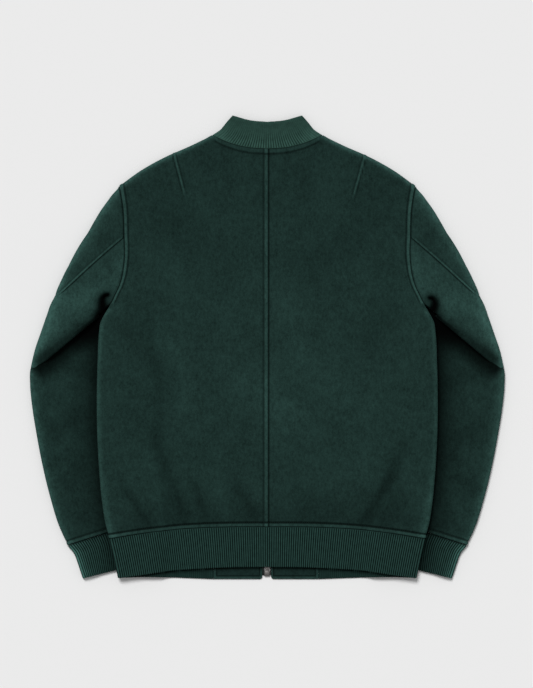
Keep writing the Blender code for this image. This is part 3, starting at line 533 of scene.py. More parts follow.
def welt(width, high=0.9, light=0.6, dark=1.2, seam=1.2):
    """The panel that covers a seam: a ridge as wide as its seam allowance, and a sunk row of stitches."""

    def profile(distance):
        ridge = smooth(distance / 1.8) * (1 - smooth((distance - width + 3.2) / 2.4))
        groove = np.exp(-(((distance - width) / 1.3) ** 2))
        height = -1.1 * (1 - rounded(distance / 1.3)) + high * ridge - 0.6 * groove
        # painted light: light is a painted highlight on the ridge, dark and seam are painted shade in the
        # groove and at the seam line
        return height, light * ridge - dark * groove - seam * np.exp(-((distance / 1.1) ** 2))

    return profile


FOLD = "fold"  # an edge of doubled cloth, rounded over its whole thickness
THINNEST = 0.04  # the least that half the cloth's thickness may be


def above_inside(height, half):
    """A height of the outer face that never sinks it through the inner one."""
    return np.maximum(height, 2 * THINNEST - 2 * half)


def cloth_faces(grid, thickness, edges):
    """Half the cloth's thickness at each point, with the height and painted light and shade its edges add
    outside.
    """
    half = np.full(grid.shape[:2], thickness / 2)
    height, shade = np.zeros(grid.shape[:2]), np.zeros(grid.shape[:2])
    distances = dict(zip(("first_row", "last_row"), from_edges(grid, 0)))
    distances.update(zip(("first_column", "last_column"), from_edges(grid, 1)))
    for name, kind in edges.items():
        distance = distances[name]
        if kind == FOLD:
            half = np.minimum(half, np.maximum(thickness / 2 * rounded(distance / thickness * 2), THINNEST))
        else:
            raised, lighter = kind(distance)
            height, shade = height + raised, shade + lighter
    return half, above_inside(height, half), shade, distances


print("a 7 mm welt stands", round(float(welt(7.0)(np.array([3.0]))[0][0]), 2), "mm proud")


# %% [markdown]
# ### Shells
# A piece of cloth has two faces and a rim. The Solidify modifier could give a sheet its thickness, but not a
# seam that rises and sinks on one face only. So both faces are laid out from the grid here, the outer one
# with its seams on it, and the rims between them are closed with quads. The floor presses flat whatever
# lies on it.

# %% Shells
PRESSED = 0.05  # what the floor leaves between two faces that it presses together


def facing(grid, axis, ring):
    """The direction in which a grid runs at each point."""
    if ring:
        grid = np.concatenate([np.take(grid, [-1], axis), grid, np.take(grid, [0], axis)], axis)
    step = unit(np.diff(grid, axis=axis))
    cells = step.shape[axis]
    middle = np.take(step, range(cells - 1), axis) + np.take(step, range(1, cells), axis)
    if ring:
        return unit(middle)
    return unit(np.concatenate([np.take(step, [0], axis), middle, np.take(step, [-1], axis)], axis))


def shell_faces(rows, columns, ring):
    """The quads of a closed shell: its outer face, its inner face and the rims between them."""
    count = rows * columns
    index = np.arange(count).reshape(rows, columns)
    if ring:
        index = np.concatenate([index, index[:1]])
    a, b, c, d = index[:-1, :-1], index[1:, :-1], index[1:, 1:], index[:-1, 1:]
    outer = np.stack([a, b, c, d], axis=-1).reshape(-1, 4)
    faces = [outer, outer[:, ::-1] + count]
    rims = [(b[:, 0], a[:, 0]), (d[:, -1], c[:, -1])]
    if not ring:
        rims += [(a[0], d[0]), (c[-1], b[-1])]
    faces += [np.stack([p, q, q + count, p + count], axis=-1) for p, q in rims]
    return np.concatenate(faces)


def shell(name, grid, half, finish, height=0.0, side=1, ring=False, uv=None, **values):
    """A closed piece of cloth around a grid (mm). side is 1 where rows x columns points out of the jacket.

    Its UV map is its plan, unless another is given. Any further values become attributes of its points.
    """
    normal = side * unit(np.cross(facing(grid, 0, ring), facing(grid, 1, False)))
    half, height = (np.broadcast_to(x, grid.shape[:2])[..., None] for x in (half, height))
    outer, inner = grid + normal * (half + height), grid - normal * half
    sunk = np.minimum(np.minimum(outer, inner)[..., 2], 0)
    outer[..., 2] = np.maximum(outer[..., 2], 0)
    inner[..., 2] = np.maximum(inner[..., 2] - sunk, PRESSED)
    points = np.concatenate([outer, inner]).reshape(-1, 3) * MM
    uv = grid[..., :2] * MM if uv is None else uv
    faces = shell_faces(*grid.shape[:2], ring)[:, ::side]
    mesh = bpy.data.meshes.new(name)
    mesh.from_pydata(points, [], faces)
    mesh.update()
    layer = mesh.uv_layers.new(name="cloth")
    wrap = np.concatenate([uv, uv]).reshape(-1, 2)
    layer.data.foreach_set("uv", wrap[faces.reshape(-1)].astype(np.float32).reshape(-1))
    for key, value in values.items():
        attribute = mesh.attributes.new(key, "FLOAT", "POINT")
        both = np.concatenate([np.broadcast_to(value, grid.shape[:2])] * 2)
        attribute.data.foreach_set("value", both.astype(np.float32).reshape(-1))
    mesh.materials.append(finish)
    mesh.shade_smooth()
    return link(bpy.data.objects.new(name, mesh))


def count_up(*pieces):
    """Prints how many triangles the finished pieces have."""
    for piece in pieces:
        piece.data.calc_loop_triangles()
        print(f"{piece.name}: {len(piece.data.loop_triangles)} triangles")


SIDES = (("right", 1), ("left", -1))  # the jacket's halves, and the sign of x there
STITCHED = {}  # the lines (m) along which each piece is stitched


def stitch_along(piece, distance, width, axis=0, keep=None):
    """Notes a row of stitches on a piece's outer face, at one distance (mm) from an edge across this axis."""
    places = np.empty(len(piece.data.vertices) * 3, np.float32)
    piece.data.vertices.foreach_get("co", places)
    face = places.reshape(-1, 3)[:distance.size].reshape(*distance.shape, 3)
    if axis == 1:
        face, distance = face.swapaxes(0, 1), distance.T
    if distance[0].mean() > distance[-1].mean():
        face, distance = face[::-1], distance[::-1]
    found = np.array([[np.interp(width, away, points[:, i]) for i in range(3)]
                      for points, away in zip(face.swapaxes(0, 1), distance.T)])
    if keep is not None:
        found = found[keep(abs(found[:, 0]) / MM, found[:, 1] / MM)]
    STITCHED.setdefault(piece.name, []).append(found)


# %% [markdown]
# ## The pattern
# These are the jacket's measurements in millimetres, seen from above: the collar points along +Y, the
# centre back and the zip lie on x = 0, and only the half on the +X side is written down.

# %% The pattern
WOOL, RIB, TAPE = 2.4, 3.2, 0.8  # how thick each cloth is
SHOULDER_BEND, COLLAR_BEND, HEM_BEND = 3.5, 3.3, 2.6
TUCKED_BEND, TUCKED_CUFF_BEND, PLEAT_BEND, PLEAT_DEPTH = 1.6, 1.95, 3.0, 30.0

NECK_POINT = (87.8, 342.4)
SHOULDER_TIP = (239.2, 259.8)
SHOULDER = [NECK_POINT, (128.5, 322.9), (158.4, 310.0), (205.7, 284.1), SHOULDER_TIP]
BACK_NECK = [(0.0, 321.4), (30.0, 323.4), (60.0, 330.6), NECK_POINT]
FRONT_NECK = [(6.0, 250.0), (32.0, 256.0), (60.0, 277.0), (78.0, 308.0), NECK_POINT]
COLLAR_CORNER = (54.6, 374.8)
COLLAR_FOLD = [NECK_POINT, (74.4, 351.4), (65.6, 362.3), COLLAR_CORNER]
BACK_COLLAR_TOP = [(0.0, 365.1), (28.0, 367.6), COLLAR_CORNER]
FRONT_COLLAR_TOP = [(6.0, 298.0), (20.0, 301.5), (36.0, 314.0), (47.0, 338.0), COLLAR_CORNER]

ELBOW = (381.5, -32.0)  # where the pleat's edge meets the outline
SEAM_ON_EDGE = (346.7, 75.0)  # where the sleeve's back seam runs over the edge
SLEEVE_EDGE = [
    (239.5, 259.7), (256.0, 238.7), (289.7, 186.9), (319.2, 135.0), SEAM_ON_EDGE, (362.8, 31.3), ELBOW,
    (383.0, -46.4), (380.7, -85.3), (372.9, -137.1), (363.1, -189.0), (350.6, -240.8), (334.3, -292.7),
    (321.3, -320.2),
]
ARMPIT = (258.0, 58.0)
PLEAT_INNER_END = (272.5, 51.0)
TUCKED_EDGE = [ARMPIT, (236.0, 20.0), (222.0, -40.0), (214.0, -100.0), (209.0, -160.0), (206.0, -220.0),
               (206.0, -284.0)]
CUFF_CORNER = (296.7, -373.6)
CUFF_OUTER = [SLEEVE_EDGE[-1], (311.8, -331.5), (306.4, -344.5), (302.1, -357.5), CUFF_CORNER]
CUFF_INNER = [TUCKED_EDGE[-1], (204.5, -320.0), (207.0, -351.6)]
BODY_EDGE = [(239.6, -373.0), (246.7, -339.0), (253.6, -308.9), (259.4, -289.4), (265.2, -255.4),
             (269.4, -214.9), (274.3, -116.1), (274.3, -75.6), (273.1, -27.0), (269.4, 33.0), (266.8, 46.0),
             ARMPIT]
# The armhole seam: y, x of the back, x of the front
ARMHOLE = [(58.0, 258.0, 258.0), (72.0, 252.0, 246.0), (100.0, 239.0, 229.0), (140.0, 231.5, 216.0),
           (178.0, 231.7, 214.0), (222.0, 233.4, 222.0), (259.8, 239.2, 239.2)]
SLEEVE_SEAM = [(231.7, 178.0), (281.2, 134.4), (315.8, 102.4), SEAM_ON_EDGE]
HEM_SIDE_Y = -308.9
BACK_HEM_SEAM = [(0.0, -290.8), (60.0, -291.0), (110.0, -292.6), (160.0, -296.2), (201.9, -301.0),
                 (253.6, HEM_SIDE_Y)]
BACK_HEM_EDGE = [(0.0, -355.3), (60.0, -355.9), (101.0, -357.8), (157.6, -361.6), (200.0, -367.6),
                 (239.6, -373.0)]
FRONT_HEM_Y, FRONT_EDGE_Y = -310.0, -375.3
FRONT_HEM_EDGE = [(81.6, FRONT_EDGE_Y), (140.0, -373.2), (204.0, -371.8), (239.6, -373.0)]
TAB_X = 81.3  # where the plain tab meets the hem band
# The zip lies a little off the middle at the hem, so each tab has its own edges: x from, x to
TAB_EDGES = {1: (6.2, 83.0), -1: (8.2, 87.0)}
FRONT_OPENING = 6.0  # each front's edge to the middle of the zip

body_edge_x = through(column(BODY_EDGE, 1), column(BODY_EDGE, 0))
armhole_back_x, armhole_front_x = table_line(ARMHOLE, 1), table_line(ARMHOLE, 2)
print("chest laid flat:", round(2 * body_edge_x(-75.6) / 10, 1), "cm")
print("shoulders:", 2 * SHOULDER_TIP[0] / 10, "cm")

# %% [markdown]
# ## Heights
# A jacket on a floor is a stack of layers. The fronts lie on the floor, except where the sleeves and cuffs
# are tucked under them. The back lies over the fronts with a little air between, and the sleeves are
# flattened tubes with round outer edges. These rules give the height of the middle of each layer.

# %% Heights
AIR = 0.3
TUCKED_SLEEVE_Z, TUCKED_CUFF_Z, CUFF_Z = 4.4, 5.5, 8.2
TUCK_RISE = [(-380.0, 7.5), (-256.0, 7.5), (-204.0, 6.3), (62.0, 6.3), (100.0, 0.0)]  # y, rise
TUCK_RAMP = (54.0, 27.0)  # the rise starts and ends this far inside the tucked edge
# How far the back lies over the front: share of the way up, at the middle, at the edge
BACK_OVER_FRONT = [(0.00, 5.2, 8.0), (0.08, 6.8, 10.0), (0.60, 6.8, 10.0), (0.80, 6.4, 8.0), (0.90, 7.8, 7.6),
                   (0.95, 8.4, 7.2), (1.00, 7.0, 7.0)]
# The sleeve's upper layer along its outer edge: y, z
EDGE_HEIGHT = [(-320.2, 8.8), (-250.0, 9.4), (-100.0, 9.6), (-32.0, 10.0), (31.0, 12.4), (90.0, 14.0),
               (150.0, 13.2), (220.0, 10.2), (259.8, 8.2)]
BAND_OVER_BAND = 4.8
BESIDE_BODY = 24.0  # a sleeve or cuff stays low this far out from the body's edge
UPPER_ARM_SWELL = 4.6
PLEAT_TOP = (10.0, 16.4)  # height of the pleat's edge at the elbow and at the armpit
PLEAT_OPENS = 0.35
COLLAR_RISE = 1.1

edge_height = table_line(EDGE_HEIGHT)
tuck_height = table_line(TUCK_RISE)
tucked_x = table_line(sorted((y, x) for x, y in TUCKED_EDGE + CUFF_INNER[1:]))


def tuck_rise(x, y):
    """How much the front is raised by the sleeve and cuff tucked under it."""
    start, end = TUCK_RAMP
    return tuck_height(y) * smooth((x - tucked_x(y) + start) / (start - end))


def zip_rise(x, y):
    """How much the collar's front ends are raised by the slider and its pull tab."""
    return COLLAR_RISE * smooth((y - 225) / 30) * smooth((34 - x) / 22)


def back_over_front(across, up):
    """How far the back lies over the front, middle to middle."""
    middle, edge = (np.interp(up, column(BACK_OVER_FRONT, 0), column(BACK_OVER_FRONT, i)) for i in (1, 2))
    return middle + (edge - middle) * smooth((across - 0.55) / 0.45)


def armhole_height(x, y):
    """The height of the back panel along its armhole seam."""
    return WOOL / 2 + tuck_rise(x, y) + back_over_front(1, (y - HEM_SIDE_Y) / (SHOULDER_TIP[1] - HEM_SIDE_Y))


def pleat_opening(share):
    """How far the pleat has opened at a share of its edge, from the elbow inwards."""
    return smooth(share / PLEAT_OPENS)


def upper_arm_height(x, y):
    """The upper layer of the upper arm: from the armhole or the pleat's edge out to the sleeve's edge."""
    low, high = ARMHOLE[1][0], SHOULDER_TIP[1]
    seam_x = armhole_back_x(y)
    pleat_x = np.interp(y, [ELBOW[1], PLEAT_INNER_END[1], low], [ELBOW[0], PLEAT_INNER_END[0], 231.5])
    share = (y - ELBOW[1]) / (PLEAT_INNER_END[1] - ELBOW[1])
    pleat_z = PLEAT_TOP[0] + (PLEAT_TOP[1] - PLEAT_TOP[0]) * pleat_opening(share)
    above = smooth((y - PLEAT_INNER_END[1]) / (low - PLEAT_INNER_END[1]))
    inner_x = np.where(y > low, seam_x, pleat_x)
    inner_z = pleat_z + (armhole_height(seam_x, np.clip(y, low, high)) - pleat_z) * above
    edge_z = edge_height(y)
    edge_points = np.array(SLEEVE_EDGE)
    edge_x = np.interp(y, edge_points[::-1, 1], edge_points[::-1, 0]) - (edge_z - WOOL / 2) / 2 * 1.3
    across = np.clip((x - inner_x) / np.maximum(edge_x - inner_x, 1), 0, 1)
    swell = UPPER_ARM_SWELL * smooth((high - y) / 90) * smooth((y - ELBOW[1]) / 70)
    return inner_z + (edge_z - inner_z) * across + swell * np.sin(math.pi * across)


def forearm_height(x, y):
    """The upper layer of the forearm: low where the body lies on it, full beside the body."""
    beside = smooth((x - body_edge_x(y) - BESIDE_BODY) / 30)
    return TUCKED_SLEEVE_Z + (edge_height(y) - TUCKED_SLEEVE_Z) * beside


print("the back lies", round(float(armhole_height(231.7, 178.0)), 1), "mm up at the armhole")

# %% [markdown]
# ## Creases
# Nobody lays a jacket down perfectly flat. Soft troughs run up from the hem at a slant, and broad low
# waves cross the back and the sleeves. They are listed in a table, each with its own length, width and
# depth, so that no two look alike, and a rule adds them up at any place.

# %% Creases
# from, to, half width, depth (mm); x is the jacket's real x, so the halves differ
BACK_CREASES = [
    ((-234, -222), (-189, -294), 7, 2.1), ((-188, -128), (-131, -286), 14, 2.2),
    ((-122, -214), (-94, -286), 10, 1.8), ((-52, -222), (-14, -282), 10, 1.8),
    ((206, -200), (153, -292), 10, 3.2), ((222, -146), (190, -232), 16, 1.5),
    ((76, -224), (56, -290), 14, 0.6), ((222, -228), (178, -292), 18, 1.5),
    ((-80, -225), (-66, -290), 9, -1.2), ((-176, -240), (-166, -292), 8, -1.3),
    ((-232, 44), (-150, -60), 28, 1.3), ((146, 4), (228, 60), 24, 1.1),
    ((-196, 236), (-60, 130), 32, 1.0), ((54, 112), (176, 220), 34, 1.1),
    ((-66, -36), (64, -136), 38, -1.6), ((26, 96), (76, -70), 32, -1.0),
    ((-160, 20), (-120, -110), 26, -1.0), ((104, -50), (168, -120), 28, -0.8),
]
ARM_CREASES = [
    ((-334, -30), (-262, -54), 12, 1.5), ((-352, -140), (-300, -108), 15, 1.4),
    ((-330, -230), (-290, -188), 14, 1.2), ((-318, -268), (-274, -286), 11, 1.1),
    ((342, -44), (280, -62), 12, 1.6), ((356, -128), (306, -152), 16, 1.4),
    ((336, -236), (300, -204), 13, 1.3), ((306, -276), (278, -292), 10, 1.0),
    ((-336, 60), (-290, 20), 20, 0.9), ((336, 56), (296, 24), 22, 0.8),
    ((-330, 122), (-258, 108), 22, 1.1), ((330, 120), (262, 98), 20, 1.1),
    ((-268, 190), (-244, 92), 12, 1.3), ((266, 184), (245, 94), 13, 1.2),
]


def crease(table, x, y):
    """How far the troughs of a table push the cloth down at a place."""
    depth = np.zeros(np.shape(x))
    for start, end, width, deep in table:
        start, span = np.array(start, float), np.subtract(end, start)
        length = np.linalg.norm(span)
        along = ((x - start[0]) * span[0] + (y - start[1]) * span[1]) / length**2
        across = ((x - start[0]) * span[1] - (y - start[1]) * span[0]) / length / width
        fade = smooth((along + 0.25) / 0.5) * smooth((1.25 - along) / 0.5)
        depth += deep * fade * (1.1 - 0.35 * across**2) * np.exp(-(across**2))
    return depth


TROUGH_DARK = 0.2  # painted shade: how many stops darker each mm of a trough's depth is painted
deepest = crease(BACK_CREASES, np.array([179.0]), np.array([-234.0]))
print("the deepest crease is", round(float(deepest[0]), 1), "mm")

# %% [markdown]
# ## Painted light and shade
# These rules paint light and shade into the cloth's colour, in stops, from the distance to a few edges: a
# painted highlight along an outline and where a fold rolls over, and painted shade where a hollow would let
# little light in: beside the body, under the pleat, and in the small hook at the armpit.

# %% Shade rules
pleat_out = unit(np.array(ELBOW) - PLEAT_INNER_END)
PLEAT_AHEAD = np.array([pleat_out[1], -pleat_out[0]])  # from the pleat's edge towards the wrist
PLEAT_LENGTH = np.linalg.norm(np.array(ELBOW) - PLEAT_INNER_END)
# The hooked hollow at each armpit, sunk and given painted shade: x, y, half width
HOOKS = {
    -1: [(257.8, 84.4, 2.6), (262.0, 83.2, 3.4), (265.4, 79.0, 4.0), (266.6, 72.0, 4.8), (265.6, 65.0, 6.2),
         (264.5, 58.0, 7.4), (268.5, 49.0, 7.6)],
    1: [(262.8, 79.2, 2.6), (267.2, 78.0, 3.5), (270.2, 74.0, 4.2), (270.4, 67.0, 4.8), (268.2, 60.5, 5.4),
        (266.6, 54.0, 6.0), (270.5, 45.5, 6.4)],
}


def away_from(points, x, y):
    """How far a place is from a smooth line through points, on either half."""
    path = line(points)(np.linspace(0, 1, 120))
    return np.hypot(abs(x)[..., None] - path[:, 0], y[..., None] - path[:, 1]).min(axis=-1)


def beside_pleat(x, y):
    """The share of the way in along the pleat's edge, and the distance past it towards the wrist."""
    place = np.stack([abs(x), y], axis=-1) - ELBOW
    return -(place @ pleat_out) / PLEAT_LENGTH, place @ PLEAT_AHEAD


def body_painted_light(x, y):
    """The back: painted highlight at its sides and shoulder line, painted shade near the hem, upper back and
    collar.
    """
    inside = away_from(BODY_EDGE, x, y)
    side = 0.95 * np.exp(-((inside / (5 + 5 * smooth((-190 - y) / 60))) ** 2))
    shoulder = 1.6 * np.exp(-((away_from(SHOULDER, x, y) / 5) ** 2))
    low, high = 0.42 * smooth((-215 - y) / 70) * smooth(inside / 60), 0.14 * smooth((y - 90) / 190)
    return side + shoulder - low - high - 0.35 * np.exp(-((away_from(BACK_NECK, x, y) / 14) ** 2))


def arm_painted_light(x, y):
    """The upper arm: painted highlight at its outline and where the pleat rolls over, painted shade at its edge
    and beside the armhole.
    """
    share, below = beside_pleat(x, y)
    outline = 1.9 * np.exp(-((away_from(SLEEVE_EDGE, x, y) / 8) ** 1.2))
    roll = 0.6 * np.exp(-(((below + 38) / 26) ** 2)) * smooth((share + 0.25) / 0.3)
    roll = roll - (1.9 - 1.4 * share) * np.exp(-(((below + 1) / 9) ** 2)) * smooth(share / 0.15)
    return outline + roll - 1.6 * smooth((share - 0.55) / 0.3) * smooth((below + 4) / 3)


def tucked_painted_light(x, y):
    """The forearm and the cuff: painted shade beside the body and under the pleat, a painted highlight at the
    outline.
    """
    share, below = beside_pleat(x, y)
    beside = np.maximum(abs(x) - body_edge_x(np.clip(y, -372, 58)), 0)
    inner = smooth((share - 0.45) / 0.4)
    under = (3.4 + 2.2 * inner) * smooth((share + 0.05) / 0.12)
    under = under * np.exp(-((np.maximum(below, 0) / (23 + 3 * inner)) ** 2.2))
    outline = 1.6 * np.exp(-((away_from(SLEEVE_EDGE + CUFF_OUTER[1:], x, y) / 7.5) ** 1.3))
    deep = np.where(x < 0, 2.2, 2.75) * (1 - np.where(x < 0, 0.25, 0.1) * smooth((-180 - y) / 90))
    return outline - 0.1 - deep * np.exp(-((beside / 18) ** 1.1)) - under


def hook_hollow(side, x, y):
    """The armpit's hollow: its depth from 0 to 1, and how near a place is to it. Both also give painted shade.
    """
    table = HOOKS[side]
    share = np.linspace(0, 1, 60)
    path = line([row[:2] for row in table])(share)
    width = np.interp(share, reach([row[:2] for row in table]), column(table, 2))
    away = np.hypot(abs(x)[..., None] - path[:, 0], y[..., None] - path[:, 1])
    return 1 / (1 + (away / width).min(axis=-1) ** 4), np.exp(-((away.min(axis=-1) / 11) ** 2))


above_hem = body_painted_light(np.array(0.0), np.array(-285.0))
print("the back just above the hem has a shade of", round(float(above_hem), 2), "stops")

# %% [markdown]
# ## Back
# The back is two panels, sewn together down the centre with the left one on top. Each has a short dart
# from the shoulder. The panels are patches between the hem seam, the side, the armhole, the shoulder and
# the neck; their sides and shoulders turn down to meet the fronts.

# %% Body panels
NECK_SHARE = NECK_POINT[0] / SHOULDER_TIP[0]
ACROSS_BODY = np.concatenate([np.linspace(0, NECK_SHARE, 9), np.linspace(NECK_SHARE, 0.955, 13)[1:], [1.0]])
UP_BODY = np.concatenate([np.linspace(0, 0.955, 40), [1.0]])


def body_outline(hem_seam, neck, armhole_x):
    """The four edges of a body panel."""
    neck, shoulder = line(neck), line(SHOULDER)

    def top(share):
        on_neck = neck(share / NECK_SHARE) - (0, SEAM / 2)
        on_shoulder = shoulder((share - NECK_SHARE) / (1 - NECK_SHARE))
        return np.where((share <= NECK_SHARE)[:, None], on_neck, on_shoulder)

    def side(share):
        y = HEM_SIDE_Y + share * (SHOULDER_TIP[1] - HEM_SIDE_Y)
        x = np.where(y > ARMPIT[1], armhole_x(y) - SEAM / 2, body_edge_x(y))
        return np.stack([x, y], axis=-1)

    def bottom(share):
        return hem_seam(share) + (0, SEAM / 2)

    return bottom, top, straight(bottom(FIRST)[0], top(FIRST)[0]), side


def body_panel(hem_seam, neck, middle_x, armhole_x, is_back):
    """The coarse grid of half the back or of one front; rows run up it and columns out to the side."""
    bottom, top, middle, side = body_outline(hem_seam, neck, armhole_x)
    plan = patch(bottom, top, middle, side, ACROSS_BODY, UP_BODY)
    plan[..., 0] += (middle_x - plan[:, :1, 0]) * np.clip(1 - ACROSS_BODY * 6, 0, 1)
    x, y = plan[..., 0], plan[..., 1]
    z = WOOL / 2 + tuck_rise(x, y)
    z = z + (back_over_front(ACROSS_BODY[None], UP_BODY[:, None]) if is_back else zip_rise(x, y))
    rise = -1 if is_back else 1
    side_y = HEM_SIDE_Y + UP_BODY * (SHOULDER_TIP[1] - HEM_SIDE_Y)
    side_angle = math.pi / 2 * np.interp(side_y, [25, 58, 72], [1, 0.6, 0])
    side_bend = back_over_front(1.0, UP_BODY)[:, None] / 2
    grid = turn_edge(with_height(plan, z), side_angle, side_bend, rise)
    across = np.concatenate([ACROSS_BODY[:-1], np.ones(grid.shape[1] - len(ACROSS_BODY) + 1)])
    top_angle = math.pi / 2 * np.interp(across, [0.85 * NECK_SHARE, NECK_SHARE, NECK_SHARE + 0.07], [0, 0.5, 1])
    return turn_edge(grid.transpose(1, 0, 2), top_angle, SHOULDER_BEND, rise).transpose(1, 0, 2)


# %% The back
BACK_LAP = 2.0  # how far the left panel laps over the middle
WELT, ARMHOLE_WELT, MIDDLE_WELT, NECK_WELT = 7.5, 8.5, 8.2, 9.0
DARTS = {1: ((159.9, 308.0), (139.3, 234.0)), -1: ((-152.8, 310.0), (-134.6, 240.0))}
DART_WELT = 5.6
NO_SEAM = 50  # added to a distance, it takes a place out of a seam's reach


def dart_profile(side, x, y):
    """The shoulder dart: a narrow pressed ridge on the inner side of its seam, fading to its point."""
    start, end = (np.array(p) for p in DARTS[side])
    span = end - start
    length = np.linalg.norm(span)
    along = ((x - start[0]) * span[0] + (y - start[1]) * span[1]) / length
    inward = side * ((x - start[0]) * span[1] - (y - start[1]) * span[0]) / length
    fade = smooth((length - along) / 22)
    ridge = smooth(inward / 1.4 + 0.3) * (1 - smooth((inward - DART_WELT + 2.2) / 2))
    line_out, line_in = np.exp(-((inward / 1.1) ** 2)), np.exp(-(((inward - DART_WELT) / 1.2) ** 2))
    height = 0.7 * ridge - 0.75 * line_out - 0.45 * line_in
    # painted highlight on the ridge and painted shade along the dart's two lines
    return fade * height, fade * (1.0 * ridge - 1.4 * line_out - 0.9 * line_in)


def back(name, side):
    """One back panel."""
    grid = body_panel(line(BACK_HEM_SEAM), BACK_NECK, side * BACK_LAP, armhole_back_x, True) * (side, 1, 1)
    grid = finer(grid, 1, 3.6, [(0, 8, 0.7), (146, 13, 1.1), (END, 9, 0.8)])
    grid = finer(grid, 0, 3.6, [(0, 8, 0.7), (END, 12, 0.8)])
    x, y = grid[..., 0], grid[..., 1]
    inside = smooth((body_edge_x(np.clip(y, -372, 58)) - abs(x)) / 30) * smooth((330 - y) / 60)
    trough = crease(BACK_CREASES, x, y) * inside
    grid[..., 2] -= trough
    middle = welt(MIDDLE_WELT, light=0.6, dark=0.8) if side < 0 else plain_edge
    edges = {"first_row": welt(WELT, light=0.8, dark=2.5, seam=0.7), "first_column": middle}
    half, height, shade, away = cloth_faces(grid, WOOL, edges)
    above = smooth((y - 62) / 10)
    for kind, where in (
        (welt(ARMHOLE_WELT, light=1.0), away["last_column"] + NO_SEAM * (1 - above)),
        (welt(NECK_WELT, high=0.6, dark=0.9, seam=0.2), away["last_row"] + NO_SEAM * smooth((abs(x) - 84) / 6)),
    ):
        raised, lighter = kind(where)
        height, shade = height + raised, shade + lighter
    raised, lighter = dart_profile(side, x, y)
    height = above_inside(height + raised, half)
    # painted light: the seams' and dart's painted highlights and shade, the back's painted light, painted shade
    # in the creases
    shade = shade + lighter + body_painted_light(x, y) - TROUGH_DARK * trough
    piece = shell(name, grid, half, WOOL_FINISH, height, -side, shade=np.clip(shade, -2.8, 1.3))
    stitch_along(piece, away["first_row"], WELT)
    stitch_along(piece, away["last_row"], NECK_WELT, keep=lambda x, y: x < 80)
    stitch_along(piece, away["last_column"], ARMHOLE_WELT, 1, lambda x, y: y > 68)
    if side < 0:
        stitch_along(piece, away["first_column"], MIDDLE_WELT, 1)
    return piece


backs = {side: back(f"back_{name}_cloth", side) for name, side in SIDES}
count_up(*backs.values())

# %% [markdown]
# ## Fronts
# The fronts lie underneath, between the back and the floor. Each runs from the zip to the side seam, with
# its edge folded in along the zip and stitched 7 mm in.

# %% The fronts
FRONT_STITCH = 7  # from each front's folded edge to its row of stitches


def front(name, side):
    """One front."""
    hem = straight((FRONT_OPENING, FRONT_HEM_Y), BACK_HEM_SEAM[-1])
    grid = body_panel(hem, FRONT_NECK, FRONT_OPENING, armhole_front_x, False) * (side, 1, 1)
    grid = finer(grid, 1, 6, [(0, 6, 1.0), (END, 8, 1.1)])
    grid = finer(grid, 0, 6, [(0, 6, 1.2), (END, 9, 1.1)])
    half, height, shade, away = cloth_faces(grid, WOOL, {"first_row": plain_edge, "first_column": FOLD})
    stitched = np.exp(-(((away["first_column"] - FRONT_STITCH) / 1.1) ** 2))
    # painted shade along the row of stitches
    height, shade = height - 0.5 * stitched, shade - 0.6 * stitched
    piece = shell(name, grid, half, WOOL_FINISH, height * 0.6, side, shade=shade)
    stitch_along(piece, away["first_column"], FRONT_STITCH, 1)
    return piece


fronts = {side: front(f"front_{name}_cloth", side) for name, side in SIDES}
count_up(*fronts.values())

# %% [markdown]
# ## Sleeves
# A jacket sleeve is a tube of two pieces. The top sleeve covers the outer arm and, on this side, a strip
# above a seam that runs from the armhole to the outline; below the seam comes the under sleeve. Laid down,
# the tube is flat with a round outer edge, its forearm is tucked under the body, and at the elbow a pleat
# of the upper arm folds down over the forearm. Both pieces share rows, numbered from the shoulder's tip.

# %% Places on the sleeve
ARMHOLE_ROW, EDGE_ROW, HIDDEN_ROW, ELBOW_ROW, CUFF_ROW = 2, 5, 6, 7, 15
HIDDEN_SEAM_ANGLE = 0.25 * math.pi  # below the elbow the seam runs here, round the edge from the floor side
edge_line, tucked_line, sleeve_seam = line(SLEEVE_EDGE), line(TUCKED_EDGE), line(SLEEVE_SEAM)
EDGE_REACH = reach(SLEEVE_EDGE)
ELBOW_SHARE = EDGE_REACH[SLEEVE_EDGE.index(ELBOW)]
SEAM_SHARE = EDGE_REACH[SLEEVE_EDGE.index(SEAM_ON_EDGE)]
ROW_SHARES = ([0, ARMHOLE_ROW, EDGE_ROW, ELBOW_ROW, CUFF_ROW],
              [0, 0.42 * SEAM_SHARE, SEAM_SHARE, ELBOW_SHARE, 1])
ROWS = np.arange(0, CUFF_ROW + 0.1, 0.5)


def edge_share(row):
    """How far down the sleeve's outer edge a row starts."""
    return np.interp(row, *ROW_SHARES)


def edge_frame(share):
    """At a place on the sleeve's outer edge: the point, the outward direction and the bend's radius."""
    point = edge_line(share)
    along = unit(edge_line(share + 0.004) - edge_line(share - 0.004))
    past_tip = smooth(np.asarray(share) / 0.05)
    out = unit(np.stack([-along[..., 1], along[..., 0] + (1 - past_tip) * 9], axis=-1))
    return point, out, (edge_height(point[..., 1]) - WOOL / 2) / 2


def bend_point(share, angle):
    """A point on the rounded outer edge, at an angle from the floor side (0) to the top (pi)."""
    point, out, radius = edge_frame(share)
    plan = point - out * radius * (1 - math.sin(angle))
    return np.array([plan[0], plan[1], WOOL / 2 + radius - radius * math.cos(angle)])


def seam_point(row):
    """Where the sleeve's back seam crosses a row, or None where it is out of sight."""
    if row <= ARMHOLE_ROW:
        y = np.interp(row, [0, 1, ARMHOLE_ROW], [259.8, 222.0, 178.0])
        return np.array([armhole_back_x(y) + SEAM / 2, y])
    if row <= EDGE_ROW:
        return sleeve_seam((row - ARMHOLE_ROW) / (EDGE_ROW - ARMHOLE_ROW))
    return None


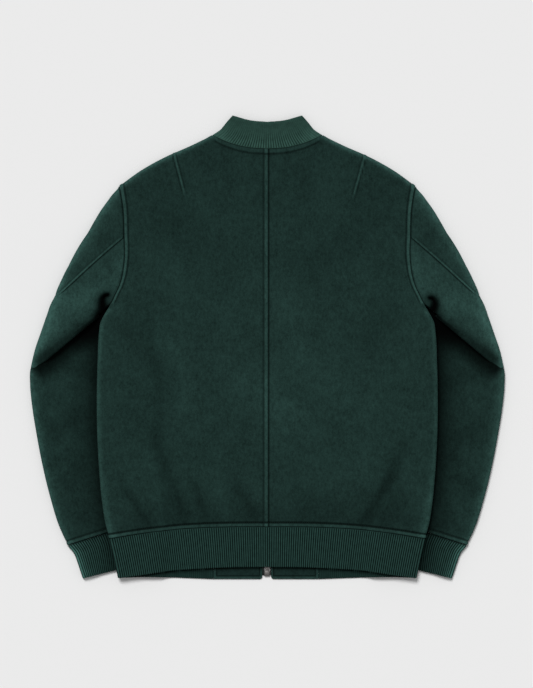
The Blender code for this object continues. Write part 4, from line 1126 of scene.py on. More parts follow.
def seam_place(row):
    """How far round the edge the seam lies: an angle, and the plan distance past the top of the bend."""
    seam = seam_point(row)
    if seam is None:
        return float(np.interp(row, [EDGE_ROW, HIDDEN_ROW], [math.pi / 2, HIDDEN_SEAM_ANGLE])), 0.0
    point, _, radius = edge_frame(edge_share(row))
    inside = float(np.linalg.norm(seam - point))
    if inside >= radius:
        return math.pi, inside - radius
    return math.pi / 2 + math.acos(1 - inside / radius), 0.0


# %% Top sleeve
def floor_end(row):
    """Where a row ends on the floor side: at the front's armhole, then at the tucked edge."""
    if row <= HIDDEN_ROW:
        y = np.interp(row, range(7), [y for y, _, _ in ARMHOLE[::-1]])
        return np.array([armhole_front_x(y) + SEAM / 2, y])
    return tucked_line((row - HIDDEN_ROW) / (CUFF_ROW - HIDDEN_ROW))


def flap_row(row):
    """A row of the top sleeve from its seam over the rounded edge, as evenly spaced points."""
    share, (angle, past), points = edge_share(row), seam_place(row), []
    radius, top = edge_frame(share)[2], bend_point(share, math.pi)[:2]
    for s in np.linspace(SEAM / 2, past + radius * angle, 19)[:-1]:
        if s < past:
            plan = top + (seam_point(row) - top) * (1 - s / past)
            points.append((*plan, upper_arm_height(*plan)))
        else:
            points.append(bend_point(share, angle - (s - past) / radius))
    return points


def top_sleeve_grid():
    """The coarse grid of the top sleeve: rows run down the arm, columns from the seam to the floor side."""
    point, out, radius = edge_frame(edge_share(ROWS))
    inside = point - out * radius[:, None]
    ends = np.array([floor_end(row) for row in ROWS])
    plan = inside[:, None] + (ends - inside)[:, None] * np.linspace(0, 1, 9)[:, None]
    floor = with_height(plan, np.full(plan.shape[:2], WOOL / 2))
    inner_angle = math.pi / 2 * np.interp(ROWS, [6.4, 7, 8], [0, 0.4, 1])
    floor = turn_edge(floor, inner_angle, TUCKED_BEND, 1, steps=4)
    return np.concatenate([np.array([flap_row(row) for row in ROWS]), floor], axis=1)


# %% [markdown]
# The seam's welt lies on the top sleeve, and the top sleeve's own edge at the armhole dips under the
# back's welt. Row by row the first column switches from the armhole to the sleeve seam at a sharp corner.

# %% Make the top sleeves
SLEEVE_WELT = 6.8
ARMPIT_PAINTED_SHADE = (262, 52, 16)  # the floor side under the armpit's hollow, painted black as shade: x, y, radius


def sleeve_painted_light(x, y):
    """The top sleeve's painted light: the upper arm's above the elbow and the forearm's below it."""
    below = smooth((ELBOW[1] + 12 - y) / 30)
    return arm_painted_light(x, y) * (1 - below) + tucked_painted_light(x, y) * below


def top_sleeve(name, side):
    """One top sleeve."""
    grid = top_sleeve_grid() * (side, 1, 1)
    corners = [int(2 * ARMHOLE_ROW), int(2 * EDGE_ROW)]
    grid = finer(grid, 0, 4, [(0, 6, 1.5), (92, 5, 1.2), (END, 9, 0.8)], corners)
    grid = finer(grid, 1, 3.5, [(0, 9, 0.7), (END, 5, 1.2)])
    x, y = grid[..., 0], grid[..., 1]
    half, height, shade, away = cloth_faces(grid, WOOL, {"last_row": welt(WELT)})
    on_armhole = (y[:, :1] > 177.9) & (y[:, :1] < 262)
    raised, lighter = plain_edge(away["first_column"])
    welted, lit = welt(SLEEVE_WELT, light=0.85, dark=0.5)(away["first_column"])
    flat = smooth(away_from(SLEEVE_EDGE, x, y) / 4 + 0.3)  # the seam lies flat where it runs over the edge
    height = above_inside(height + np.where(on_armhole, raised, welted * flat), half)
    # painted light: the seam's painted highlight and shade, and the sleeve's painted light
    shade = shade + np.where(on_armhole, lighter, lit * (0.4 + 0.6 * flat)) + sleeve_painted_light(x, y)
    up = smooth((grid[..., 2] - 6) / 3) * smooth(away["first_column"] / 20)
    trough = crease(ARM_CREASES, x, y) * up
    grid[..., 2] -= trough
    dark_x, dark_y, dark_radius = ARMPIT_PAINTED_SHADE
    # painted shade: the floor side under the armpit's hollow is painted black
    armpit = np.exp(-((np.hypot(abs(x) - dark_x, y - dark_y) / dark_radius) ** 4))
    armpit = smooth((5 - grid[..., 2]) / 2) * armpit
    shade = np.clip(shade - TROUGH_DARK * trough - 5 * armpit, -5, 1.4)
    piece = shell(name, grid, half, WOOL_FINISH, height, side, shade=shade)
    stitch_along(piece, away["last_row"], WELT)
    stitch_along(piece, away["first_column"], SLEEVE_WELT, 1, lambda x, y: y < 172)
    return piece


top_sleeves = {side: top_sleeve(f"top_sleeve_{name}_cloth", side) for name, side in SIDES}
count_up(*top_sleeves.values())

# %% [markdown]
# ### Under sleeve
# The under sleeve starts at the seam, and its cloth goes on without a cut over the pleat: out to the pleat's
# edge, back under it, and down again over the forearm to the cuff. Three pieces would show a gap in the
# fold, so one grid is carried through all three parts. Its rows follow the top sleeve's, so that the two
# pieces meet all the way down.

# %% Under sleeve, above the pleat
BEND_SHARES, TOP_SHARES = np.linspace(0, 1, 7)[:-1], np.linspace(0, 1, 16)
UPPER_ROWS = np.array([2.03, 2.25, 2.5, 3, 3.5, 4, 4.5, 5, 5.5, 6, 6.5, 7])
LIP_END = PLEAT_INNER_END - PLEAT_AHEAD * PLEAT_BEND


def inner_end(row):
    """Where a row of the under sleeve ends above the pleat: at the armhole, then at the pleat's inner end."""
    if row <= EDGE_ROW:
        y = np.interp(row, [2, 3, 4, 5], [178.0, 140.0, 100.0, 72.0])
        return np.array([armhole_back_x(y) + SEAM / 2, y])
    low = np.array([armhole_back_x(72.0) + SEAM / 2, 72.0])
    return low + (LIP_END - low) * (row - EDGE_ROW) / (ELBOW_ROW - EDGE_ROW)


def under_row(row):
    """One row of the under sleeve above the pleat, from the seam across to its inner end."""
    share, (angle, past) = edge_share(row), seam_place(row)
    inner, seam = inner_end(row), seam_point(row)
    if past > 0.5:
        heading = unit(inner - seam)
        first = seam + heading * SEAM
        margin = min(8.0, 0.3 * np.linalg.norm(inner - seam))
        points = [first + heading * margin * s for s in BEND_SHARES]
        points = [(*p, upper_arm_height(*p)) for p in points]
        top = first + heading * margin
    else:
        points = [bend_point(share, angle + SEAM / 5 + (math.pi - angle) * s) for s in BEND_SHARES]
        top = bend_point(share, math.pi)[:2]
    plans = [top + (inner - top) * s for s in TOP_SHARES]
    return np.array(points + [(*p, upper_arm_height(*p)) for p in plans])


# %% Under sleeve, the pleat and the forearm
def pleat_rows(lip, share, direction):
    """Rows of the pleat: over its edge, back under it, and down again to the forearm."""
    angle = math.radians(5) + (math.pi - math.radians(5)) * pleat_opening(share)
    depth = np.maximum(1.0, PLEAT_DEPTH * (share - PLEAT_OPENS) / (1 - PLEAT_OPENS))
    turns = [angle * part for part in np.linspace(0, 1, 8)[1:]]
    moves = [(PLEAT_BEND * np.sin(t), PLEAT_BEND * (1 - np.cos(t))) for t in turns]
    ahead, down = moves[-1]
    moves += [(ahead + depth * s * np.cos(angle), down + depth * s * np.sin(angle)) for s in (0.5, 1.0)]
    ahead, down = moves[-1]
    for part in np.linspace(0, 1, 8)[1:]:
        left = angle * (1 - part)
        turned = np.sin(angle) - np.sin(left), np.cos(left) - np.cos(angle)
        moves.append((ahead + PLEAT_BEND * turned[0], down + PLEAT_BEND * turned[1]))
    rows = []
    for ahead, down in moves:
        plan = lip[:, :2] + direction * ahead[:, None]
        rows.append(with_height(plan, lip[:, 2] - down))
    return np.array(rows)


def forearm_grid(under, rows):
    """The top of the forearm, from the row under the pleat to the cuff."""
    shares = edge_share(rows)
    inner = np.concatenate([under[-1:, :2], tucked_line((rows - HIDDEN_ROW) / (CUFF_ROW - HIDDEN_ROW))])
    point, out, radius = edge_frame(shares)
    inside = np.concatenate([under[len(BEND_SHARES):len(BEND_SHARES) + 1, :2], point - out * radius[:, None]])
    along = np.concatenate([[0.0], (shares - ELBOW_SHARE) / (1 - ELBOW_SHARE)])

    def rule(knots, points):
        return lambda t: np.stack([np.interp(t, knots, points[:, i]) for i in (0, 1)], axis=-1)

    near = rule(TOP_SHARES, under[len(BEND_SHARES):, :2])
    far = straight(inside[-1], TUCKED_EDGE[-1])
    plan = patch(near, far, rule(along, inside), rule(along, inner), TOP_SHARES, along)
    settled = smooth(along / 0.2)[:, None]
    z = under[None, len(BEND_SHARES):, 2] * (1 - settled) + forearm_height(plan[..., 0], plan[..., 1]) * settled
    angles = [HIDDEN_SEAM_ANGLE + SEAM / 5 + (math.pi - HIDDEN_SEAM_ANGLE) * b for b in BEND_SHARES]
    bends = np.array([[bend_point(s, angle) for angle in angles] for s in shares])
    return np.concatenate([bends, with_height(plan, z)[1:]], axis=1)


def under_sleeve_grid():
    """The coarse grid of the under sleeve, and how many of its rows come before the forearm's."""
    upper = np.array([under_row(row) for row in UPPER_ROWS])
    share = np.concatenate([np.zeros(len(BEND_SHARES)), TOP_SHARES])
    down_edge = unit(edge_line(edge_share(8)) - edge_line(ELBOW_SHARE))
    direction = unit(down_edge + (PLEAT_AHEAD - down_edge) * smooth(share / 0.3)[:, None])
    pleat = pleat_rows(upper[-1], share, direction)
    forearm = forearm_grid(pleat[-1], np.arange(7.5, CUFF_ROW + 0.1, 0.5))
    whole = np.concatenate([upper, pleat, forearm])
    before = len(upper) + len(pleat)
    angle = np.concatenate([np.zeros(before), np.full(len(forearm), math.pi / 2)])
    return turn_edge(whole, angle, TUCKED_BEND, -1, steps=4), len(upper), before


# %% Make the under sleeves
HOOK_DEEP, HOOK_DARK = 10, 6.5  # the armpit's hollow: mm down, and stops of painted shade


def under_sleeve(name, side):
    """One under sleeve. Its grid carries a fourth number: 0 on the upper arm, 1 past the pleat's edge."""
    grid, lip, before = under_sleeve_grid()
    grid = grid * (side, 1, 1)
    past = np.broadcast_to(smooth((np.arange(len(grid)) - lip - 3) / 5)[:, None], grid.shape[:2])
    grid = np.concatenate([grid, past[..., None]], axis=-1)
    spans = np.linalg.norm(np.diff(grid, axis=0), axis=-1).mean(axis=1).cumsum()
    grid = finer(grid, 0, 3.5, [(0, 5, 1.0), (spans[lip - 4], 16, 1.8), (spans[lip - 2], 12, 1.2),
                                (spans[before - 3], 12, 1.6), (END, 9, 0.8)])
    grid = finer(grid, 1, 3.2, [(0, 6, 0.8), (END, 24, 0.9)])
    grid, past = grid[..., :3].copy(), grid[..., 3]
    x, y = grid[..., 0], grid[..., 1]
    half, height, shade, away = cloth_faces(grid, WOOL, {"last_row": welt(WELT)})
    raised, lighter = plain_edge(away["first_column"])
    flat = smooth(away_from(SLEEVE_EDGE, x, y) / 4 + 0.3)
    height, shade = height + raised * (0.15 + 0.85 * flat), shade + 0.8 * lighter * (0.4 + 0.6 * flat)
    raised, lighter = plain_edge(away["last_column"] + NO_SEAM * (1 - smooth((y - 56) / 8)))
    height, shade = above_inside(height + raised, half), shade + lighter
    inside = smooth(away["first_column"] / 25) * smooth(away["last_column"] / 25)
    trough = crease(ARM_CREASES, x, y) * inside
    hook, near = hook_hollow(side, x, y)
    grid[..., 2] -= trough + HOOK_DEEP * hook * (1 - past)
    # painted light: the arm's painted light, a little lighter on the upper arm, and painted shade in creases
    # and round the hook
    shade = shade + (0.22 + arm_painted_light(x, y)) * (1 - past) + tucked_painted_light(x, y) * past
    shade = shade - TROUGH_DARK * trough - HOOK_DARK * hook - 0.9 * near * smooth((112 - y) / 30)
    piece = shell(name, grid, half, WOOL_FINISH, height, -side, shade=np.clip(shade, -6, 1.5))
    stitch_along(piece, away["last_row"], WELT)
    return piece


under_sleeves = {side: under_sleeve(f"under_sleeve_{name}_cloth", side) for name, side in SIDES}
count_up(*under_sleeves.values())

# %% [markdown]
# ## Ribs
# Rib knit is a row of wales, raised cords of stitches with a furrow on each side, that run from the seam
# to the folded edge. A geometry pattern raises them: it reads how many wales a point is along the band and
# moves it along its normal, most at the crest and least in the furrow. The fade near the collar's top,
# where the knit is stretched smooth, is a value that the mesh carries.

# %% The rib pattern
def geometry_tree(name, sizes):
    """A new geometry tree with a mesh input and named sizes. Returns it and its inputs as values."""
    tree = bpy.data.node_groups.new(name, "GeometryNodeTree")
    tree.interface.new_socket("Geometry", in_out="INPUT", socket_type="NodeSocketGeometry")
    for size, value in sizes.items():
        tree.interface.new_socket(size, in_out="INPUT", socket_type="NodeSocketFloat").default_value = value
    tree.interface.new_socket("Geometry", in_out="OUTPUT", socket_type="NodeSocketGeometry")
    group = tree.nodes.new("NodeGroupInput")
    return tree, {socket.name: Value(tree, socket) for socket in group.outputs if socket.name}


def end_tree(tree, geometry, finish):
    """Ends a geometry tree: instances become real mesh and get their finish."""
    real = add_node(tree, "GeometryNodeRealizeInstances", {}, {"Geometry": geometry})
    done = add_node(tree, "GeometryNodeSetMaterial", {}, {"Geometry": real, "Material": finish})
    tree.links.new(done.socket, tree.nodes.new("NodeGroupOutput").inputs[0])


def grown(piece, tree, **sizes):
    """Runs a geometry tree on an object, and turns the result into the object's own plain mesh."""
    pattern = piece.modifiers.new(tree.name, "NODES")
    pattern.node_group = tree
    for socket in tree.interface.items_tree:
        if socket.in_out == "INPUT" and socket.name in sizes:
            pattern[socket.identifier] = sizes[socket.name]
    graph = bpy.context.evaluated_depsgraph_get()
    result = piece.evaluated_get(graph)
    mesh = bpy.data.meshes.new_from_object(result, preserve_all_data_layers=True, depsgraph=graph)
    piece.modifiers.clear()
    piece.data = mesh
    mesh.name = piece.name
    return piece


def float_attribute(tree, name):
    """A number that the mesh carries, read in a geometry tree."""
    return add_node(tree, "GeometryNodeInputNamedAttribute", {"data_type": "FLOAT"}, {"Name": name})


def rib_tree(finish):
    """Raises wales along a band."""
    tree, given = geometry_tree("wales", {"Depth": 0.0006, "Roundness": 0.6})
    crest = (float_attribute(tree, "rib_turn") * math.pi).of("COSINE").of("ABSOLUTE") ** given["Roundness"]
    rise = (crest - 0.62) * given["Depth"] * float_attribute(tree, "rib_depth")
    normal = add_node(tree, "GeometryNodeInputNormal")
    out = add_node(tree, "ShaderNodeVectorMath", {"operation": "SCALE"}, {0: normal, "Scale": rise})
    raised = add_node(tree, "GeometryNodeSetPosition", {}, {"Geometry": given["Geometry"], "Offset": out})
    end_tree(tree, raised, finish)
    return tree


RIB_TREE, COLLAR_TREE = rib_tree(RIB_FINISH), rib_tree(COLLAR_FINISH)
SAMPLES = 6  # points across one wale
WALE_DEPTH = 0.0012  # metres, from a wale's crest to the bottom of its furrow
print("the rib pattern has", len(RIB_TREE.nodes), "nodes")


# %% Ribbed pieces
def ribbed(name, grid, edges, down_step, side=1, ring=False,
           pitch=RIB_PITCH, fade=None, painted_light=None, tree=RIB_TREE):
    """A doubled rib piece: rows run along the band, columns from its seam to its folded edge."""
    if ring:
        grid = np.concatenate([grid[-3:], grid, grid[:4]])
    spans = np.linalg.norm(np.diff(grid, axis=0), axis=-1).mean(axis=1)
    knots = np.concatenate([[0], np.cumsum(spans)])
    start, end = (knots[3], knots[-4]) if ring else (0, knots[-1])
    wales = 2 * round((end - start) / pitch / 2)
    places = np.linspace(start, end, wales * SAMPLES + 1)
    grid = through(knots, grid)(places[:-1] if ring else places)
    grid = finer(grid, 1, down_step, [(0, 3, 0.7), (END, 3, 0.5)])
    half, height, shade, away = cloth_faces(grid, RIB, edges)
    down = away["first_column"]
    turn = np.broadcast_to(np.arange(len(grid))[:, None] / SAMPLES, down.shape)
    depth = smooth(down / 3 + 0.3) * (1 if fade is None else fade(down, grid[..., 0], grid[..., 1]))
    # the piece's own painted light and shade, if it has any
    if painted_light is not None:
        shade = shade + painted_light(grid[..., 0], grid[..., 1])
    uv = np.stack([turn * RIB_PITCH, down], axis=-1) * MM
    values = {"rib_turn": turn, "rib_depth": depth, "shade": shade}
    piece = shell(name, grid, half, RIB_FINISH, height, side, ring, uv, **values)
    print(name, "has", wales, "wales")
    return grown(piece, tree, Depth=WALE_DEPTH)


# %% [markdown]
# ## Cuffs, collar and hem band
# The cuffs are flattened tubes of rib, each with its inner half under the hem band. The collar is one band
# round the neck, folded over at both sides, and the hem band runs from one front tab round the back to the
# other. All three are doubled, so their free edges are round folds.

# %% The cuffs
def cuff_grid():
    """The coarse grid of a cuff: rows run round the wrist, columns from the seam to the fold."""
    along, around = np.array([0, 0.03, 0.1, 0.25, 0.5, 0.75, 0.93, 1]), np.linspace(0, 1, 11)
    outer, inner = line(CUFF_OUTER), line(CUFF_INNER)
    square = unit(np.array(CUFF_OUTER[0]) - CUFF_INNER[0])
    off = np.array([square[1], -square[0]]) * SEAM
    seam = straight(CUFF_OUTER[0], CUFF_INNER[0])
    fold = straight(CUFF_OUTER[-1], CUFF_INNER[-1])
    plan = patch(lambda t: seam(t) + off, fold, lambda t: outer(t) + off * (1 - t[:, None]),
                 lambda t: inner(t) + off * (1 - t[:, None]), around, along)
    beside = smooth((plan[..., 0] - body_edge_x(plan[..., 1]) - BESIDE_BODY) / 22)
    rings = []
    for z, rise in ((TUCKED_CUFF_Z + (CUFF_Z - TUCKED_CUFF_Z) * beside, -1), (RIB / 2, 1)):
        turned = turn_edge(with_height(plan, z), math.pi / 2, TUCKED_CUFF_BEND, rise, gap=0)
        rings.append(turn_edge(turned[:, ::-1], math.pi / 2, (CUFF_Z - RIB / 2) / 2, rise, gap=0))
    upper, lower = rings
    return np.concatenate([upper, lower[:, -2:0:-1]], axis=1).transpose(1, 0, 2)


def cuff_painted_light(x, y):
    """The cuff's painted light and shade, as the forearm's, a little lighter."""
    return tucked_painted_light(x, y) + 0.26


cuffs, edges = {}, {"first_column": plain_edge, "last_column": FOLD}
for name, side in SIDES:
    grid = cuff_grid() * (side, 1, 1)
    cuffs[side] = ribbed(f"cuff_{name}_knit", grid, edges, 2.6, side, ring=True, painted_light=cuff_painted_light)
count_up(*cuffs.values())


# %% [markdown]
# ### The collar
# On a worn jacket the collar stands up round the neck. Laid down it folds over at both sides, so its back
# half lies on its front half. Two flat pieces would show no fold there, so one band runs from one front end
# round the neck to the other. Its wales fade towards the top, where the knit is stretched smooth.

# %% The collar
COLLAR_PITCH = 3.4


def mirrored_band(half):
    """A band that crosses x = 0, from its right half, whose last row lies there."""
    return np.concatenate([half, (half * (-1, 1, 1))[-2::-1]])


def collar_grid():
    """The coarse grid of the collar: rows run round the neck, columns from the seam to the top fold."""
    across, along = np.linspace(0, 1, 7), np.linspace(0, 1, 10)
    fold = line(COLLAR_FOLD)
    parts = []
    for neck, top, rise in ((FRONT_NECK, FRONT_COLLAR_TOP, 1), (BACK_NECK, BACK_COLLAR_TOP, -1)):
        seam, edge = line(neck), line(top)
        plan = patch(straight(neck[0], top[0]), fold, lambda t: seam(t) + (0, SEAM / 2), edge, across, along)
        dip = smooth((45 - plan[..., 0]) / 45) * smooth(across)[None]
        z = RIB / 2 + (zip_rise(plan[..., 0], plan[..., 1]) if rise > 0 else 2 * COLLAR_BEND - 2.2 * dip)
        grid = with_height(plan, z).transpose(1, 0, 2)
        parts.append(turn_edge(grid, math.pi / 2, COLLAR_BEND, rise, gap=0).transpose(1, 0, 2))
    front_half, back_half = parts
    return mirrored_band(np.concatenate([front_half, back_half[-2::-1]]))


def collar_fade(down, x, y):
    """The wales fade towards the collar's top and its sides, where the knit is stretched smooth."""
    return (0.62 - 0.5 * smooth((down - 12) / 18)) * (1 - 0.6 * smooth((abs(x) - 48) / 26))


def collar_painted_light(x, y):
    """The collar: painted highlight along its top edge and its lower part, where it bends outwards, darker
    between.
    """
    top, low = away_from(BACK_COLLAR_TOP, x, y), away_from(BACK_NECK, x, y)
    return -0.48 + 0.5 * np.exp(-((top / 4) ** 2)) + 0.95 * np.exp(-((low / 26) ** 2))


collar = ribbed("collar_knit", collar_grid(), {"first_column": pale_edge, "last_column": FOLD}, 2.6, 1,
                pitch=COLLAR_PITCH, fade=collar_fade, painted_light=collar_painted_light, tree=COLLAR_TREE)
count_up(collar)


# %% [markdown]
# ### The hem band
# The band gathers the jacket in at the hips. It is made as the collar is: one band, from one tab round the
# back to the other, turned over at both sides. The fronts' part lies lower and shows only as a narrow strip
# below the back's fold, where the knit is pulled flatter.

# %% The hem band
def hem_band_grid():
    """The coarse grid of the hem band: rows run round the hem, columns from the seam to the fold."""
    across = np.linspace(0, 1, 6)
    fold = line([BODY_EDGE[2], BODY_EDGE[1], BODY_EDGE[0]])
    front_seam = straight((TAB_X + SEAM, FRONT_HEM_Y - SEAM), (BODY_EDGE[2][0], HEM_SIDE_Y - SEAM))
    back_seam = line(BACK_HEM_SEAM)
    along_back = np.concatenate([np.linspace(0, 0.955, 20), [1.0]])
    along_front = np.concatenate([np.linspace(0, 0.93, 14), [1.0]])
    parts = []
    for seam, edge, along, rise in (
        (front_seam, line(FRONT_HEM_EDGE), along_front, 1),
        (lambda t: back_seam(t) - (0, SEAM), line(BACK_HEM_EDGE), along_back, -1),
    ):
        plan = patch(straight(seam(FIRST)[0], edge(FIRST)[0]), fold, seam, edge, across, along)
        z = RIB / 2 + tuck_rise(plan[..., 0], plan[..., 1])
        if rise < 0:
            z = z + BAND_OVER_BAND + (2 * HEM_BEND - BAND_OVER_BAND) * smooth((along - 0.55) / 0.45)[:, None]
        grid = with_height(plan, z).transpose(1, 0, 2)
        parts.append(turn_edge(grid, math.pi / 2, HEM_BEND, rise, gap=0).transpose(1, 0, 2))
    front_half, back_half = parts
    band = mirrored_band(np.concatenate([front_half, back_half[-2::-1]]))
    for rows, side in ((band[:len(front_half)], 1), (band[-len(front_half):], -1)):
        rows[..., 0] += side * (TAB_EDGES[side][1] - TAB_X) * smooth((160 - abs(rows[..., 0])) / 70)
    return band


back_hem_y = table_line(BACK_HEM_EDGE)


def under_band_painted_shadow(x, y):
    """What shows of the fronts and the tabs below the back's band: painted shadow right under its fold."""
    below = np.maximum(back_hem_y(abs(x)) - y, 0)
    return np.where(below > 0.4, -0.1 - 2.6 * np.exp(-((below / 3.4) ** 1.6)), 0)


def band_painted_light(x, y):
    """The fronts' part of the band lies lower than the back's, and is given painted shade."""
    return under_band_painted_shadow(x, y) - 0.8 * (y < back_hem_y(abs(x)) - 0.4)


def band_fade(down, x, y):
    """The wales of the fronts' part are pulled flatter than the back's."""
    return np.where(y < back_hem_y(abs(x)) - 0.4, 0.35, 1)


edges = {"first_column": pale_edge, "last_column": FOLD}
hem_band = ribbed("hem_band_knit", hem_band_grid(), edges, 3.4, 1, fade=band_fade, painted_light=band_painted_light)
count_up(hem_band)

# %% [markdown]
# ## Hem tabs
# Beside the zip the hem band ends in two plain wool tabs. Each is turned in all round and stitched 5 mm
# from its edge, which leaves a raised rim, and its corner by the zip is rounded off.

# %% The hem tabs
TAB_STITCH, TAB_CORNER = 5, 5  # how far in the stitches run, and the corner's radius
TAB_RIM = 4.6  # the stitches stop this far from the other edges


def hem_tab(name, side):
    """One tab."""
    (left, right), low, high = TAB_EDGES[side], FRONT_EDGE_Y, FRONT_HEM_Y - SEAM / 2

    def bottom(t):
        x = left + (right - left) * t
        return np.stack([x, low + TAB_CORNER * (1 - rounded((x - left + 0.4) / TAB_CORNER))], axis=-1)

    across, up = np.linspace(0, 1, 60) ** 1.3, np.linspace(0, 1, 12)
    plan = patch(bottom, straight((left, high), (right, high)), straight(bottom(FIRST)[0], (left, high)),
                 straight((right, low), (right, high)), across, up)
    grid = with_height(plan, np.full(plan.shape[:2], WOOL / 2)) * (side, 1, 1)
    grid = finer(grid, 0, 3, [(0, 8, 0.5)])
    grid = finer(grid, 1, 3, [(0, 8, 0.6), (END, 8, 0.6)])
    rims = {"first_row": 0, "first_column": 1, "last_column": 1}  # the turned-in edges, and across which axis
    half, _, shade, away = cloth_faces(grid, WOOL, dict.fromkeys(rims, FOLD))
    edge = np.minimum(np.minimum(away["first_row"], away["first_column"]), away["last_column"])
    rim, sunk = 1 - smooth((edge - 3.4) / 1.6), np.exp(-((edge - TAB_STITCH) ** 2))
    height = 0.6 * rim - 0.5 * sunk
    # painted highlight on the rim, painted shade in the stitches' groove and inside the rim, and the band's
    # painted shadow
    shade = 0.55 * rim - 1.3 * sunk - 0.3 * (1 - rim) + under_band_painted_shadow(grid[..., 0], grid[..., 1])
    piece = shell(name, grid, half, WOOL_FINISH, height, -side, shade=shade)

    def inside_rim(x, y):
        return (x > left + TAB_RIM) & (x < right - TAB_RIM) & (y > low + TAB_RIM)

    for rim_name, axis in rims.items():
        stitch_along(piece, away[rim_name], TAB_STITCH, axis, inside_rim)
    return piece


tabs = {side: hem_tab(f"hem_tab_{name}_cloth", side) for name, side in SIDES}
count_up(*tabs.values())

# %% [markdown]
# ## Stitches
# Each pressed seam is held by a row of small stitches in thread of the cloth's own colour, so they hardly
# show: little pads that dip into the nap. The seams noted where they run, and a geometry pattern now lays
# a thread along each of those lines at an even pitch. One stitch is a rounded bead of 20 faces.

# %% The stitch pattern
def even_places(tree, given):
    """Points at an even pitch along the lines that a pattern is given."""
    path = add_node(tree, "GeometryNodeMeshToCurve", {}, {"Mesh": given["Geometry"]})
    sockets = {"Curve": path, "Length": given["Pitch"]}
    return add_node(tree, "GeometryNodeResampleCurve", {"mode": "LENGTH"}, sockets)


def stitch_tree():
    """Lays stitches along lines."""
    tree, given = geometry_tree("stitches", {"Pitch": 0.0034, "Length": 0.0027, "Thickness": 0.0006})
    places = even_places(tree, given)
    bead = add_node(tree, "GeometryNodeMeshIcoSphere", {}, {"Radius": 0.5, "Subdivisions": 1})
    along = add_node(tree, "GeometryNodeInputTangent")
    turned = add_node(tree, "FunctionNodeAlignRotationToVector", {"axis": "X"}, {"Vector": along})
    size = {"X": given["Length"], "Y": given["Thickness"], "Z": given["Thickness"]}
    size = add_node(tree, "ShaderNodeCombineXYZ", {}, size)
    sockets = {"Points": places, "Instance": bead, "Rotation": turned, "Scale": size}
    end_tree(tree, add_node(tree, "GeometryNodeInstanceOnPoints", {}, sockets), THREAD_FINISH)
    return tree


def line_object(name, lines):
    """An object of bare lines, for a pattern to work along."""
    starts = np.cumsum([0] + [len(points) for points in lines])
    edges = [(i, i + 1) for first, end in zip(starts, starts[1:]) for i in range(first, end - 1)]
    mesh = bpy.data.meshes.new(name)
    mesh.from_pydata(np.concatenate(lines).tolist(), edges, [])
    return link(bpy.data.objects.new(name, mesh))


STITCH_TREE = stitch_tree()
stitches = {}
for piece_name, lines in STITCHED.items():
    name = piece_name.replace("_cloth", "_stitches")
    stitches[piece_name] = grown(line_object(name, lines), STITCH_TREE)
count_up(*stitches.values())

# %% [markdown]
# ## The zip
# A closed metal zip runs up the front, under the jacket as it lies. Its two woven tapes have a cord along
# the inner edge, and metal teeth are clamped on the cords and mesh in the middle. A box holds the lower
# ends together: it is the small bright piece that shows below the hem. The slider and its pull tab keep the
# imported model's shapes, and get this finish.

# %% The tapes
TAPE_X = (3.1, 16.0)  # each tape's two edges, from the middle
TAPE_END_Y, CHAIN_TOP_Y, ZIP_TOP_Y = -368.6, 288.0, 296.0  # the tapes' lower ends, the last tooth, the top
BOX_LOW, BOX_HIGH = (-4.9, -370.7, 1.0), (4.9, -354.6, 4.1)  # two corners of the box
BOX_SIDES = {1: 4.0, -1: 4.8}  # how far it reaches out on each half
TAPE_Z = (WOOL + AIR + TAPE / 2, RIB + COLLAR_RISE + AIR + TAPE / 2)  # over the fronts, over the collar


def tape_height(y):
    """The height of the zip, which climbs from the fronts onto the collar."""
    return TAPE_Z[0] + (TAPE_Z[1] - TAPE_Z[0]) * smooth((y - 212) / 36)


def zip_tape(name, side):
    """One tape, with a bead along its inner edge."""
    rows = np.concatenate([np.linspace(TAPE_END_Y, -350, 7), np.linspace(-340, ZIP_TOP_Y, 60)])
    share, y = np.meshgrid(np.linspace(0, 1, 4), rows)
    beside_box = smooth((-350 - y) / 3)  # here the tape is cut narrow, to end between the box and the tab
    inner = TAPE_X[0] + (BOX_SIDES[side] + 0.2 - TAPE_X[0]) * beside_box
    outer = TAPE_X[1] + (TAB_EDGES[side][0] - 0.1 - TAPE_X[1]) * beside_box
    x = inner + (outer - inner) * share
    grid = finer(np.stack([side * x, y, tape_height(y)], axis=-1), 1, 2.4, [(0, 2, 0.4)])
    inner, _ = from_edges(grid, 1)
    bead = 0.3 * np.exp(-(((inner - 1) / 0.8) ** 2))
    return shell(name, grid, TAPE / 2, TAPE_FINISH, bead, side, shade=0.0)


tapes = {side: zip_tape(f"zip_tape_{name}_cloth", side) for name, side in SIDES}
count_up(*tapes.values())


# %% [markdown]
# ### The teeth
# Each tooth is a clamp on the tape's cord with a small head that reaches past the middle. There are nearly
# 500 of them, so each has only two boxes of six faces. One pattern sets them along a line and turns every
# other one round, and so they mesh as a closed zip does, with no need to place two rows against each other.

# %% The teeth
# The clamp and the head: x from, x to, share of the tooth's width, height (mm)
TOOTH_PARTS = ((0.9, 3.4, 1.0, 2.3), (-0.8, 1.2, 0.85, 1.7))


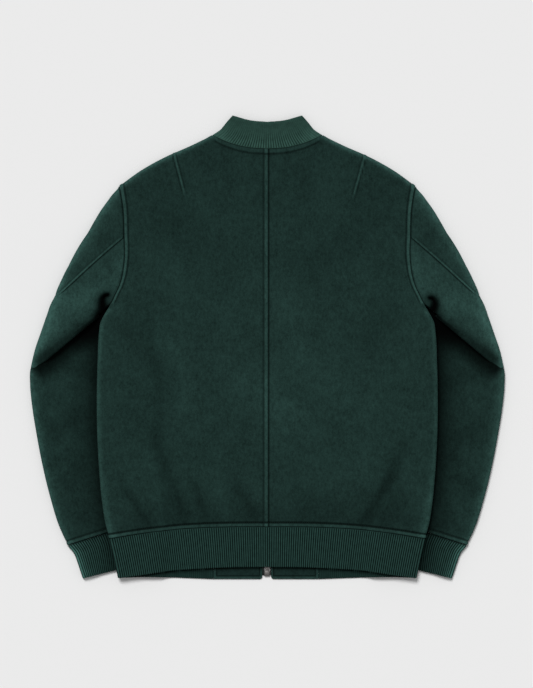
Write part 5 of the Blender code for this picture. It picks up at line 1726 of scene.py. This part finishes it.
def tooth_tree():
    """Sets teeth along a line, every other one turned to the other side."""
    tree, given = geometry_tree("zip_teeth", {"Pitch": 0.0013, "Tooth": 0.0009})
    places = even_places(tree, given)
    parts = []
    for low, high, wide, tall in TOOTH_PARTS:
        sides = {"X": (high - low) * MM, "Y": given["Tooth"] * wide, "Z": tall * MM}
        size = add_node(tree, "ShaderNodeCombineXYZ", {}, sides)
        block = add_node(tree, "GeometryNodeMeshCube", {}, {"Size": size})
        moved = {"Geometry": block, "Translation": ((low + high) / 2 * MM, 0, 0)}
        parts.append(add_node(tree, "GeometryNodeTransform", {}, moved))
    tooth = add_node(tree, "GeometryNodeJoinGeometry")
    for part in parts:
        tree.links.new(part.socket, tooth.socket.node.inputs["Geometry"])
    turn = add_node(tree, "GeometryNodeInputIndex").of("MODULO", 2.0) * math.pi
    turn = add_node(tree, "ShaderNodeCombineXYZ", {}, {"Z": turn})
    turned = add_node(tree, "FunctionNodeEulerToRotation", {}, {"Euler": turn})
    sockets = {"Points": places, "Instance": tooth, "Rotation": turned}
    end_tree(tree, add_node(tree, "GeometryNodeInstanceOnPoints", {}, sockets), METAL_FINISH)
    return tree


y = np.linspace(BOX_HIGH[1] + 1, CHAIN_TOP_Y, 80)
chain = np.stack([0 * y, y, tape_height(y)], axis=-1) * MM
teeth = grown(line_object("zip_teeth", [chain]), tooth_tree())
count_up(teeth)


# %% [markdown]
# ### The box
# The box is cast metal: a body, a narrower neck where the teeth run in, a raised plate and the pin's end. A
# single block would show no step at the neck. Four bevelled blocks give the steps and the rubbed edges, and
# they may overlap, because they are one piece of metal.

# %% The box
def bevelled_block(low, high, bevel):
    """A metal block between two corners (mm), with its edges rubbed round."""
    shape = bmesh.new()
    bmesh.ops.create_cube(shape, size=1)
    for vert in shape.verts:
        vert.co = [((0.5 + c) * h + (0.5 - c) * l) * MM for c, l, h in zip(vert.co, low, high)]
    bmesh.ops.bevel(shape, geom=shape.edges[:], offset=bevel * MM, segments=3, profile=0.5, affect="EDGES")
    return shape


def zip_box():
    """The box: a body, a narrower neck where the teeth enter, a plate on top and the pin beside it."""
    (x, low, floor), (_, high, top) = BOX_LOW, BOX_HIGH
    blocks = [
        ((x + 0.1, low, floor), (-x - 0.9, low + 9.6, top - 0.2), 0.8),
        ((x + 1.6, low + 9.0, floor + 0.3), (-x - 2.4, high, top - 0.5), 0.7),
        ((x + 1.0, low + 1.6, top - 0.7), (-x - 1.8, low + 8.0, top), 0.5),
        ((1.0, low + 7.4, top - 0.9), (2.6, high - 1.5, top), 0.6),
    ]
    mesh = bpy.data.meshes.new("zip_box_metal")
    whole = bmesh.new()
    for low_corner, high_corner, bevel in blocks:
        block, holder = bevelled_block(low_corner, high_corner, bevel), bpy.data.meshes.new("block")
        block.to_mesh(holder)
        block.free()
        whole.from_mesh(holder)
        bpy.data.meshes.remove(holder)
    whole.to_mesh(mesh)
    whole.free()
    mesh.materials.append(METAL_FINISH)
    mesh.shade_smooth()
    return link(bpy.data.objects.new("zip_box_metal", mesh))


box = zip_box()
count_up(box)

# %% [markdown]
# ## What stands for what
# Each cloth piece replaces its solid of the imported model, which goes on carrying the collisions. The
# zip's teeth and its box move with the body, and the slider and its pull tab get the metal finish.


def declare(piece, node, others=()):
    """A finished piece rides on the jacket and stands for its node."""
    for thing in (piece, *others):
        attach(thing, "jacket")
    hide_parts(node)


def declare_sheet(kind, name, piece):
    """The same for a sheet of cloth, with its rows of stitches."""
    others = [stitches[piece.name]] if piece.name in stitches else []
    declare(piece, f"{kind}_{name}", others)


def cloth_area(piece):
    """Half the surface of a closed piece: the area of its cloth."""
    return sum(face.area for face in piece.data.polygons) / 2


PAIRS = (
    ("back", backs, "wool"), ("front", fronts, "wool"), ("top_sleeve", top_sleeves, "wool"),
    ("under_sleeve", under_sleeves, "wool"), ("hem_tab", tabs, "wool"), ("cuff", cuffs, "rib"),
    ("zip_tape", tapes, "tape"),
)
for name, side in SIDES:
    for kind, pieces, slot in PAIRS:
        piece = pieces[side]
        declare_sheet(kind, name, piece)
declare(collar, "collar")
declare(hem_band, "hem_band")
print("the ribs have", round(cloth_area(collar), 4), "and", round(cloth_area(hem_band), 4), "square metres")
declare(teeth, "zip_chain")
declare(box, "zip_box")
for node in ("zip_slider", "zip_pull"):
    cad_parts[node].material_slots[0].material = METAL_FINISH
